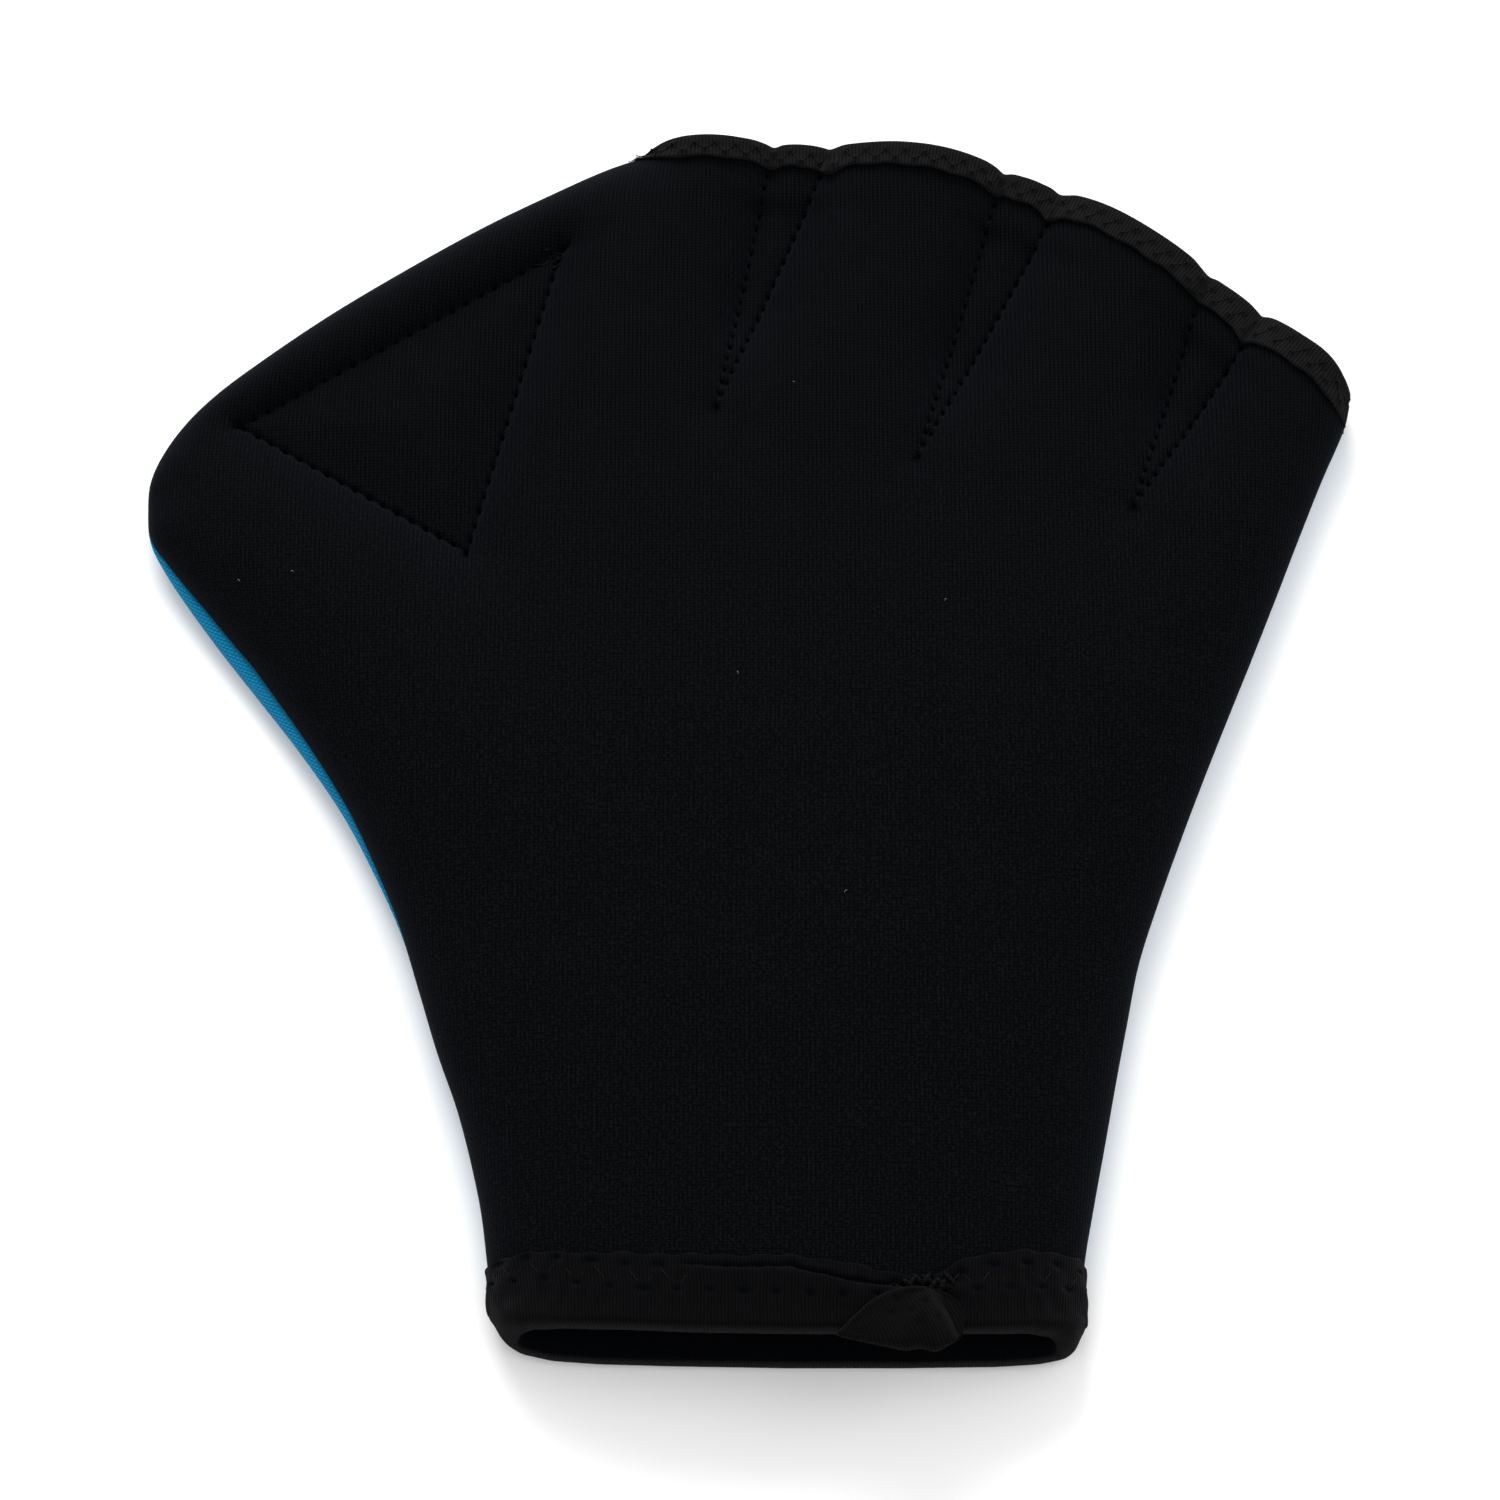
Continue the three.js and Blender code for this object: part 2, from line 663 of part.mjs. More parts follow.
// The tape's end is folded and lapped over the tape itself, and hangs past the rim
function makeLap() {
  const rows = [...lapOutline, ...lapMiddle];
  const ring = lapOutline;
  const below = tapeLift + tapeGap;
  const positions = rows.flatMap(([share, rise], i) => {
    const turn = Math.acos(1 - 2 * share);
    const up = rise * wristTape;
    const above = below + lapWall + (i < ring.length ? 0 : lapCrown);
    return [below, above].map((height) => wristOffset(turn, up, height).toArray());
  });
  const flat = rows.map(([share, rise], i) => [
    share * (wristRight - wristLeft) + 0.01 * Math.sin(i),
    rise * wristTape,
  ]);
  const flatRing = flat.slice(0, ring.length);
  const triangles = [];
  triangulate(flat).forEach((corners) => {
    const x = corners.reduce((sum, i) => sum + flat[i][0] / 3, 0);
    const y = corners.reduce((sum, i) => sum + flat[i][1] / 3, 0);
    if (!inside(flatRing, x, y)) return;
    const [a, b, c] = corners.map((i) => 2 * i);
    triangles.push([a + 1, b + 1, c + 1], [a, c, b]);
  });
  ring.forEach((_, i) => {
    const a = 2 * i;
    const b = 2 * ((i + 1) % ring.length);
    triangles.push([a, b, b + 1], [a, b + 1, a + 1]);
  });
  return body('wrist_binding_lap', '#121213', 0.95, positions, triangles);
}

// Fingertip tapes: one folded over the edge of each panel, from side seam to side seam
const heading = (from, to) => new THREE.Vector2(to[0] - from[0], to[1] - from[1]).normalize();
const tipEndBlend = 9; // length over which a tape's end turns in line with the side seam
function tipSquare(place) {
  const last = tipLine.length - 1;
  const along = heading(tipLine[Math.max(place - 1, 0)], tipLine[Math.min(place + 1, last)]);
  return new THREE.Vector2(along.y, -along.x);
}
function tipInward(place) {
  const last = tipLine.length - 1;
  const square = tipSquare(place);
  const thumbEnd = heading(thumbLine[thumbLine.length - 1], thumbLine[thumbLine.length - 3]);
  const littleEnd = heading(littleLine[littleLine.length - 1], littleLine[littleLine.length - 3]);
  const fromStart = ease((place * tipLineStep) / tipEndBlend);
  const fromEnd = ease(((last - place) * tipLineStep) / tipEndBlend);
  return thumbEnd.multiplyScalar(1 - fromStart)
    .addScaledVector(littleEnd, 1 - fromEnd)
    .addScaledVector(square, fromStart * fromEnd)
    .normalize();
}
// Moves a plan point away from the side seams until it is clear of them by a distance
function keepOff(x, y, clear) {
  const place = [x, y];
  [[thumbLine, 1], [littleLine, -1]].forEach(([line, turn]) => {
    const at = nearest(line, ...place);
    const short = clamp(clear - at.distance, 0, clear);
    place[0] += turn * at.tangent[1] * short;
    place[1] -= turn * at.tangent[0] * short;
  });
  return place;
}
function tipOffset(place, up, height, over) {
  const inward = tipInward(place);
  const above = Math.max(up, 0);
  const [ex, ey] = tipLine[place];
  const [x, y] = keepOff(ex + inward.x * above, ey + inward.y * above, tapeGap);
  const level = over ? palmTop : backBottom;
  const toSide = Math.min(nearest(thumbLine, x, y).distance, nearest(littleLine, x, y).distance);
  const h = clamp(0.4 * toSide, 0.02, 0.8);
  const normal = new THREE.Vector3(
    (level(x - h, y) - level(x + h, y)) / (2 * h),
    (level(x, y - h) - level(x, y + h)) / (2 * h),
    1,
  ).normalize().multiplyScalar(over ? 1 : -1);
  const out = tipSquare(place).multiplyScalar(up - above);
  const point = new THREE.Vector3(x + out.x, y + out.y, level(x, y));
  point.addScaledVector(normal, height);
  if (height < 0) {
    // Inside the fold the leg keeps off the side seams
    [point.x, point.y] = keepOff(point.x, point.y, -height + legInset * toSide);
    const rim = nearest(tipLine, point.x, point.y);
    const square = new THREE.Vector2(rim.tangent[1], -rim.tangent[0]);
    const depth = square.dot(new THREE.Vector2(point.x - rim.point[0], point.y - rim.point[1]));
    const slide = (up - depth) / Math.max(square.dot(inward), 0.4);
    point.x += inward.x * slide;
    point.y += inward.y * slide;
  }
  if (over) point.z = Math.max(point.z, palmSeam + 0.05 * (tapeLift - height));
  else point.z = clamp(point.z, 0, backSeam - 0.05 * (tapeLift - height));
  return point;
}
function makeTipBinding(name, over) {
  const section = tapeSection(tipTape, tipTapeInside, rimWall + tipSlack);
  const last = tipLine.length - 1;
  const endPlaces = [2, 4, 7].flatMap((k) => [k, last - k]);
  const shoulder = Math.round(edgeStep / 2 / tipLineStep);
  const shoulders = tipBreaks.slice(1, -1).map((k, i) => k + (i % 2 ? shoulder : -shoulder));
  const places = [...new Set([...tipPlaces, ...endPlaces, ...shoulders])].sort((a, b) => a - b);
  const rings = places.map((place) => {
    const ring = section.map(([up, height]) => tipOffset(place, up, height, over).toArray());
    return over ? ring.reverse() : ring;
  });
  return sweep(name, '#191919', 0.95, rings, false);
}

const glove = new THREE.Group();
glove.add(
  makePalm(),
  makeBack(),
  makeWristBinding(),
  makeLap(),
  makeTipBinding('palm_fingertip_binding', true),
  makeTipBinding('back_fingertip_binding', false),
);
// The origin is under the middle of the glove, on the surface that it lies on
const around = new THREE.Box3().setFromObject(glove);
const centre = around.getCenter(new THREE.Vector3());
glove.position.set(-centre.x, -centre.y, -around.min.z);

export default glove;
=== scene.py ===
# Webbed swim glove, left hand, lying on its back panel with the palm up.
# Shapes are worked out in millimetres in the glove's own plan and placed in metres by makePiece().
import math

import bpy
import numpy as np
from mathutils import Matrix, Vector, geometry


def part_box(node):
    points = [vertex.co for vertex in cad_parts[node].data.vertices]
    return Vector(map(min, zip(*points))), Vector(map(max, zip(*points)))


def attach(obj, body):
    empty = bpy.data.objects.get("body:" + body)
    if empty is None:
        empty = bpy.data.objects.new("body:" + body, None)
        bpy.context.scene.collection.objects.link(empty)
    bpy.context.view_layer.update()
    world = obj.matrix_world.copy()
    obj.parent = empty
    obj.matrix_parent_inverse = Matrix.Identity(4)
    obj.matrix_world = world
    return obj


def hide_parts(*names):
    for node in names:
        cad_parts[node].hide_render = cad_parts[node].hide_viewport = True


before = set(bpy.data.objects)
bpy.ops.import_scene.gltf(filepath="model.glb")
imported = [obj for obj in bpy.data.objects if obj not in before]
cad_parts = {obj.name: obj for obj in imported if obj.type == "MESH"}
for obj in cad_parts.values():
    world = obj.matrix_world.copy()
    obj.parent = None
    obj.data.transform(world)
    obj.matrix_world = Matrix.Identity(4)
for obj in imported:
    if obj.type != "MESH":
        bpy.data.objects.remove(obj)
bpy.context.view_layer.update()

mm = 0.001
rng = np.random.default_rng(7)

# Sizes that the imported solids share
glove = {
    "length": 201.0,
    "width": 191.8,
    "palmRise": 13.6,  # palm above the seam plane at the wrist
    "backDrop": 9.0,
    "sideRound": 34.0,  # distance over which a side rolls up
    "seamHeight": 5.0,
    "seamGap": 0.08,
    "sheetWall": 2.0,
    "rimWall": 1.2,
    "webPinch": 0.6,
    "rimPinch": 1.95,
    "footPinch": 5.5,
    "footReach": 20.0,
    "webPast": 0.15,
    "webSlack": 0.15,
    "stripWidth": 2.2,  # blue panel that wraps round the thumb side
    "tapeWall": 0.7,
    "tapeGap": 0.4,
    "wristTape": 11.4,
    "wristBand": 12.0,  # rim of the panels shaped for the tape
    "wristTapeInside": 9.0,
    "wristSlack": 0.7,
    "tipTape": 4.0,
    "tipBand": 6.0,
    "tipTapeInside": 2.6,
    "tipSlack": 0.6,
    "pinchRamp": 4.0,
    "levelShare": 0.25,
    "legInset": 0.3,
    "legRoom": 0.1,
    "tipEndBlend": 9.0,
}
halfWidth = glove["width"] / 2
halfLength = glove["length"] / 2
tapeLift = glove["tapeWall"] + glove["tapeGap"]
palmSeam = glove["seamHeight"] + glove["seamGap"] / 2
backSeam = glove["seamHeight"] - glove["seamGap"] / 2

# Outline of the thumb side, wrist to fingertip: share of half the width, share of half the length
thumbSide = [
    (-0.411, -0.930), (-0.422, -0.852), (-0.436, -0.754), (-0.472, -0.612), (-0.507, -0.516),
    (-0.537, -0.421), (-0.569, -0.323), (-0.614, -0.226), (-0.667, -0.128), (-0.735, -0.029),
    (-0.814, 0.072), (-0.893, 0.171), (-0.967, 0.273), (-0.994, 0.323), (-1.000, 0.374),
    (-0.997, 0.426), (-0.975, 0.476), (-0.938, 0.528), (-0.890, 0.576), (-0.824, 0.628),
    (-0.715, 0.706), (-0.590, 0.785), (-0.456, 0.863), (-0.352, 0.916), (-0.250, 0.964),
    (-0.186, 0.987),
]
# Outline of the little finger side, wrist to fingertip
littleSide = [
    (0.513, -0.950), (0.520, -0.852), (0.538, -0.754), (0.557, -0.660), (0.576, -0.564),
    (0.596, -0.468), (0.617, -0.372), (0.650, -0.275), (0.687, -0.177), (0.726, -0.079),
    (0.768, 0.022), (0.810, 0.121), (0.852, 0.222), (0.893, 0.323), (0.936, 0.426),
    (0.978, 0.520), (0.987, 0.556),
]
# Fingertip edge, thumb side to little finger side
tipEdge = [
    (-0.186, 0.987), (-0.089, 0.989), (-0.004, 0.985), (0.080, 0.983), (0.163, 0.976),
    (0.245, 0.972), (0.327, 0.961), (0.410, 0.940), (0.493, 0.908), (0.574, 0.869),
    (0.656, 0.820), (0.737, 0.769), (0.818, 0.707), (0.899, 0.643), (0.945, 0.609),
    (0.987, 0.556),
]
# Wrist edge: share of the wrist width from the thumb side, share of half the length
wristEdge = [
    (0.000, -0.930), (0.015, -0.949), (0.045, -0.966), (0.100, -0.977), (0.180, -0.982),
    (0.300, -0.985), (0.500, -0.988), (0.700, -0.988), (0.860, -0.986), (0.930, -0.982),
    (0.975, -0.974), (0.992, -0.965), (1.000, -0.950),
]
# How far the palm's rim stands back from the back panel's: share of the wrist width, distance
palmSetback = [
    (0.000, 0.0), (0.020, 0.7), (0.050, 1.8), (0.100, 2.3), (0.200, 2.1), (0.350, 1.6),
    (0.650, 1.5), (0.820, 1.9), (0.920, 2.3), (0.965, 1.8), (0.985, 0.8), (1.000, 0.0),
]
# Web seams: foot, thumb side top and far top, each across and along
webs = [
    (-0.063, 0.533, 0.030, 0.990, 0.132, 0.990),
    (0.269, 0.447, 0.420, 0.960, 0.524, 0.918),
    (0.622, 0.363, 0.754, 0.775, 0.848, 0.700),
]
# Sewn triangle between thumb and index finger
thumbWeb = [(-0.852, 0.512), (-0.322, 0.817), (-0.472, 0.298)]
# Height of the palm: share of half the length, share of the palm rise
palmHeights = [(-1.0, 0.985), (-0.6, 0.95), (-0.2, 0.90), (0.2, 0.84), (0.6, 0.80), (1.0, 0.80)]
# Back panel showing beyond the palm: share of half the length, share of the strip width
strip = [
    (-0.36, 0.00), (-0.22, 0.28), (-0.12, 0.50), (-0.02, 0.72), (0.10, 1.00), (0.20, 0.80),
    (0.28, 0.45), (0.34, 0.00),
]
# Folded tape end: share of the wrist width, share of the wrist tape's width up from the rim
lapOutline = [
    (0.580, -0.19), (0.605, -0.26), (0.635, -0.31), (0.665, -0.36), (0.695, -0.41),
    (0.720, -0.39), (0.745, -0.43), (0.765, -0.36), (0.787, -0.24), (0.793, 0.02),
    (0.786, 0.24), (0.760, 0.42), (0.718, 0.50), (0.680, 0.46), (0.642, 0.31),
    (0.612, 0.08), (0.592, -0.09),
]


# Small helpers on arrays
def ease(t):
    c = np.clip(t, 0, 1)
    return c * c * (3 - 2 * c)


def mix(a, b, t):
    return a + (b - a) * t


def lookUp(table, place):
    keys, values = zip(*table)
    return np.interp(place, keys, values)


def toPlan(rows):
    return np.array(rows, float) * (halfWidth, halfLength)


def bump(distance, reach):
    return np.exp(-((distance / reach) ** 2))


def lengthsOf(line):
    return np.concatenate([[0], np.cumsum(np.hypot(*np.diff(line, axis=0).T))])


def spaced(line, step):
    gone = lengthsOf(line)
    count = max(2, round(gone[-1] / step))
    at = np.linspace(0, gone[-1], count + 1)
    return np.column_stack([np.interp(at, gone, line[:, k]) for k in range(line.shape[1])])


# Evenly spaced points on a centripetal curve through the given ones
def smoothLine(points, step):
    p = np.array(points, float)
    ends = np.vstack([2 * p[0] - p[1], p, 2 * p[-1] - p[-2]])
    t = np.linspace(0, 1, 40, endpoint=False)[:, None]
    parts = []
    for a, b, c, d in zip(ends, ends[1:], ends[2:], ends[3:]):
        k0, k1, k2 = (math.sqrt(math.dist(u, v)) for u, v in ((a, b), (b, c), (c, d)))
        m1 = ((b - a) / k0 - (c - a) / (k0 + k1) + (c - b) / k1) * k1
        m2 = ((c - b) / k1 - (d - b) / (k1 + k2) + (d - c) / k2) * k1
        first = (2 * t**3 - 3 * t**2 + 1) * b + (t**3 - 2 * t**2 + t) * m1
        parts.append(first + (3 * t**2 - 2 * t**3) * c + (t**3 - t**2) * m2)
    return spaced(np.vstack(parts + [p[-1:]]), step)


# Closed ring through its corners, with points between them
def corners(ring, step):
    closed = np.vstack([ring, ring[:1]])
    return np.vstack([spaced(closed[k:k + 2], step)[:-1] for k in range(len(ring))] + [ring[:1]])


# Nearest place on a line of close points: distance, tangent, foot point and length gone along the line
def nearest(line, x, y):
    shape = np.broadcast(x, y).shape
    points = np.column_stack([np.broadcast_to(v, shape).ravel() for v in (x, y)]).astype(float)
    gone = lengthsOf(line)
    out = np.empty((len(points), 6))
    for start in range(0, len(points), 20000):
        p = points[start:start + 20000]
        k = ((p[:, :1] - line[:, 0]) ** 2 + (p[:, 1:] - line[:, 1]) ** 2).argmin(1)
        best = None
        for s in (np.clip(k - 1, 0, len(line) - 2), np.clip(k, 0, len(line) - 2)):
            a = line[s]
            along = line[s + 1] - a
            size = np.hypot(along[:, 0], along[:, 1])
            t = np.clip(((p - a) * along).sum(1) / size**2, 0, 1)
            foot = a + along * t[:, None]
            far = np.hypot(*(p - foot).T)
            found = np.column_stack([far, along / size[:, None], foot, gone[s] + t * size])
            best = found if best is None else np.where((far < best[:, 0])[:, None], found, best)
        out[start:start + 20000] = best
    return {
        "distance": out[:, 0].reshape(shape),
        "tangent": (out[:, 1].reshape(shape), out[:, 2].reshape(shape)),
        "point": (out[:, 3].reshape(shape), out[:, 4].reshape(shape)),
        "gone": out[:, 5].reshape(shape),
    }


def insideRing(ring, x, y):
    odd = np.zeros(np.broadcast(x, y).shape, bool)
    for (ax, ay), (bx, by) in zip(ring, np.roll(ring, 1, axis=0)):
        crosses = (ay > y) != (by > y)
        odd ^= crosses & (x < (bx - ax) * (y - ay) / np.where(by == ay, 1, by - ay) + ax)
    return odd


# Plan curves
thumbLine = smoothLine(toPlan(thumbSide), 1.5)
littleLine = smoothLine(toPlan(littleSide), 1.5)
tipLine = smoothLine(toPlan(tipEdge), 0.7)
thumbTipAt = int(thumbLine[:, 0].argmin())
thumbLower = thumbLine[:thumbTipAt + 1]
thumbUpper = thumbLine[thumbTipAt:]
wristLeft = thumbLine[0, 0]
wristRight = littleLine[0, 0]
wristRim = min(along for _, along in wristEdge) * halfLength
webRings = []
for fx, fy, ax, ay, bx, by in webs:
    past = 1 + glove["webPast"]
    webRings.append(toPlan([
        (fx, fy),
        (mix(fx, ax, past), mix(fy, ay, past)),
        (mix(fx, bx, past), mix(fy, by, past)),
    ]))
thumbRing = toPlan(thumbWeb)
sewnRings = [
    {"corners": ring, "line": corners(ring, 1.0), "isWeb": ring is not thumbRing}
    for ring in [*webRings, thumbRing]
]

# The solids' own origin, found from the back panel's box
backLow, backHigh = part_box("back_panel")
originShift = np.array([backLow.x / mm + halfWidth, backLow.y / mm - wristRim, 0])


def wristY(share):
    return lookUp(wristEdge, np.clip(share, 0, 1)) * halfLength


def tapeY(share, up):
    return mix(wristY(share), wristRim + glove["wristBand"], up / glove["wristBand"])


# How far a point is from the sides and the sewn webs, blended so that ridges stay smooth
def roll(x, y):
    toTip = nearest(tipLine, x, y)["distance"]
    rimShare = ease((toTip - glove["tipBand"]) / glove["pinchRamp"] - glove["levelShare"])
    total = 0
    for line in (thumbLower, thumbUpper, littleLine):
        total = total + 1 / np.maximum(nearest(line, x, y)["distance"], 1e-4) ** 2
    for ring in sewnRings:
        distance = nearest(ring["line"], x, y)["distance"]
        drawn = glove["webPinch"]
        if ring["isWeb"]:
            foot = ring["corners"][0]
            fromFoot = np.hypot(x - foot[0], y - foot[1])
            drawn = mix(glove["footPinch"], drawn, ease(fromFoot / glove["footReach"]))
        slack = np.where(insideRing(ring["corners"], x, y), glove["webSlack"], 1)
        total = total + 1 / (mix(glove["rimPinch"], drawn, rimShare) + distance * slack) ** 2
    return 1 / np.sqrt(total)


def swell(distance):
    return np.sqrt(1 - (1 - np.clip(distance / glove["sideRound"], 0, 1)) ** 2)


# Back panel showing on the thumb side: its width and the way in
def stripShift(x, y):
    at = nearest(thumbLower, x, y)
    width = lookUp(strip, at["point"][1] / halfLength) * glove["stripWidth"]
    width = width * np.clip(1 - at["distance"] / (4 * glove["stripWidth"]), 0, 1)
    return width, at["tangent"][1] * width, -at["tangent"][0] * width


def wallAt(x, y):
    toTip = nearest(tipLine, x, y)["distance"]
    ramp = ease((toTip - glove["tipBand"]) / glove["pinchRamp"] - glove["levelShare"])
    return mix(glove["rimWall"], glove["sheetWall"], ramp)


def palmTop(x, y):
    return palmSeam + glove["palmRise"] * lookUp(palmHeights, y / halfLength) * swell(roll(x, y))


def backBottom(x, y):
    fromTip = (nearest(tipLine, x, y)["distance"] - glove["tipBand"]) / glove["pinchRamp"]
    fromWrist = (y - wristRim - glove["wristBand"]) / glove["pinchRamp"]
    rest = tapeLift * (1 - ease(np.minimum(fromTip, fromWrist) - glove["levelShare"]))
    start = backSeam - stripShift(x, y)[0]
    return np.maximum(rest, start - glove["backDrop"] * swell(roll(x, y)))


# Where the palm lies over a plan point: pulled in for the strip and set back at the wrist
def palmPlace(x, y):
    _, dx, dy = stripShift(x, y)
    share = np.clip((x - wristLeft) / (wristRight - wristLeft), 0, 1)
    reach = glove["wristBand"] + 2 * glove["pinchRamp"]
    above = np.clip(1 - (y - wristY(share)) / reach, 0, 1)
    back = lookUp(palmSetback, share) * above
    return x + dx, y + dy + back


def slopeFactor(height, x, y):
    h = 0.2
    dx = (height(x + h, y) - height(x - h, y)) / (2 * h)
    dy = (height(x, y + h) - height(x, y - h)) / (2 * h)
    return np.minimum(np.sqrt(1 + dx * dx + dy * dy), 2.2)


# Stitch lines of the webs and the triangle, each from its foot or corner
seams = {
    "webPitch": 2.2,
    "trianglePitch": 2.6,
    "grooveDepth": 0.22,
    "grooveReach": 0.5,
    "holeDepth": 0.75,
    "holeReach": 0.42,
    "holeSwing": 0.22,
    "puff": 0.12,  # sheet swelling up beside a groove
    "puffReach": 1.3,
}
stitchLines = []
for ring in webRings:
    for top in (1, 2):
        line = spaced(np.vstack([ring[0], ring[top]]), 1.0)
        stitchLines.append({"line": line, "pitch": seams["webPitch"], "fade": 1})
for k in range(3):
    line = spaced(np.vstack([thumbRing[k], thumbRing[(k + 1) % 3]]), 1.0)
    stitchLines.append({"line": line, "pitch": seams["trianglePitch"], "fade": 0})


# Height that stitching takes off a face, and how deep in a needle hole a point is, 0 to 1, which is painted as
# shade in the holes
def stitchRelief(x, y):
    drop = np.zeros(np.broadcast(x, y).shape)
    hole = np.zeros_like(drop)
    for row in stitchLines:
        at = nearest(row["line"], x, y)
        off = at["distance"]
        phase = at["gone"] / row["pitch"]
        fromHole = (phase - np.round(phase)) * row["pitch"]
        swing = 1 + seams["holeSwing"] * np.sin(np.round(phase) * 2.4 + row["pitch"])
        reach = seams["holeReach"] * swing * mix(1, 0.7, row["fade"] * at["gone"] / row["line"].shape[0])
        dot = bump(off, reach) * bump(fromHole, reach)
        groove = bump(off, seams["grooveReach"])
        puff = seams["puff"] * (bump(off, seams["puffReach"]) - groove)
        here = seams["grooveDepth"] * groove + seams["holeDepth"] * dot - puff
        drop = np.where(np.abs(here) > np.abs(drop), here, drop)
        hole = np.maximum(hole, dot)
    inCloth = ease((nearest(tipLine, x, y)["distance"] - glove["tipTape"] * 0.6) / 2)
    return drop * inCloth, hole * inCloth


# Soft unevenness of a sheet that has been folded and handled
waves = []
for size in (62, 47, 35, 26, 19, 14):
    for _ in range(3):
        heading = rng.uniform(0, 2 * math.pi)
        waves.append((math.cos(heading) / size, math.sin(heading) / size, rng.uniform(0, 6.3), size))


def unevenness(x, y, amount):
    total = sum(size * np.sin(2 * math.pi * (x * a + y * b) + turn) for a, b, turn, size in waves)
    return amount * total / sum(size for *_, size in waves) * 2.5


# Distance round the rolled side, so that the knit isn't stretched there
rollPlaces = np.linspace(0, glove["sideRound"], 400)
rollHeights = swell(rollPlaces) * glove["palmRise"] * 0.88
rollExtra = np.hypot(np.diff(rollPlaces), np.diff(rollHeights)) - np.diff(rollPlaces)
rollExtra = np.concatenate([np.cumsum(rollExtra[::-1])[::-1], [0]])


def weaveOf(x, y):
    toThumb = nearest(thumbLine, x, y)["distance"]
    toLittle = nearest(littleLine, x, y)["distance"]
    across = x - np.interp(toThumb, rollPlaces, rollExtra)
    across = across + np.interp(toLittle, rollPlaces, rollExtra)
    return np.column_stack([across, y, np.zeros_like(x)])


# Mesh in the row frame, with the knit's own coordinates and a 0 to 1 mask of painted shade: the depth of needle
# holes, creases and the inside of the tape's fold
def makePiece(name, points, faces, looks, nodes=(), faceLooks=None, weave=None, paintedShade=None):
    mesh = bpy.data.meshes.new(name)
    faces = [list(dict.fromkeys(face)) for face in faces]
    kept = [i for i, face in enumerate(faces) if len(face) > 2]
    places = (np.asarray(points) + originShift) * mm
    mesh.from_pydata(places.tolist(), [], [faces[i] for i in kept])
    for look in looks:
        mesh.materials.append(look)
    if faceLooks is not None:
        mesh.polygons.foreach_set("material_index", [int(faceLooks[i]) for i in kept])
    if weave is not None:
        field = mesh.attributes.new("weave", "FLOAT_VECTOR", "POINT")
        field.data.foreach_set("vector", np.asarray(weave, np.float32).ravel())
    # Painted shade mask, mixed toward a dark colour by the materials
    if paintedShade is not None:
        field = mesh.attributes.new("paintedShade", "FLOAT", "POINT")
        field.data.foreach_set("value", np.asarray(paintedShade, np.float32))
    mesh.polygons.foreach_set("use_smooth", [True] * len(kept))
    mesh.update()
    piece = bpy.data.objects.new(name, mesh)
    bpy.context.scene.collection.objects.link(piece)
    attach(piece, "root")
    if nodes:
        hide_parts(*nodes)
    print("made", name, len(kept), "faces")
    return piece


# One function adds a node: properties and socket values by name or number, then its links
def addNode(tree, kind, settings=None, links=None):
    node = tree.nodes.new(kind)
    for key, value in (settings or {}).items():
        if isinstance(key, str) and hasattr(node, key):
            setattr(node, key, value)
        else:
            node.inputs[key].default_value = value
    for key, source in (links or {}).items():
        tree.links.new(source, node.inputs[key])
    return node


def linear(hexColour):
    parts = [int(hexColour[i:i + 2], 16) / 255 for i in (1, 3, 5)]
    return (*[c / 12.92 if c <= 0.04045 else ((c + 0.055) / 1.055) ** 2.4 for c in parts], 1)


def newLook(name):
    look = bpy.data.materials.new(name)
    look.use_nodes = True
    tree = look.node_tree
    tree.nodes.clear()
    return look, tree


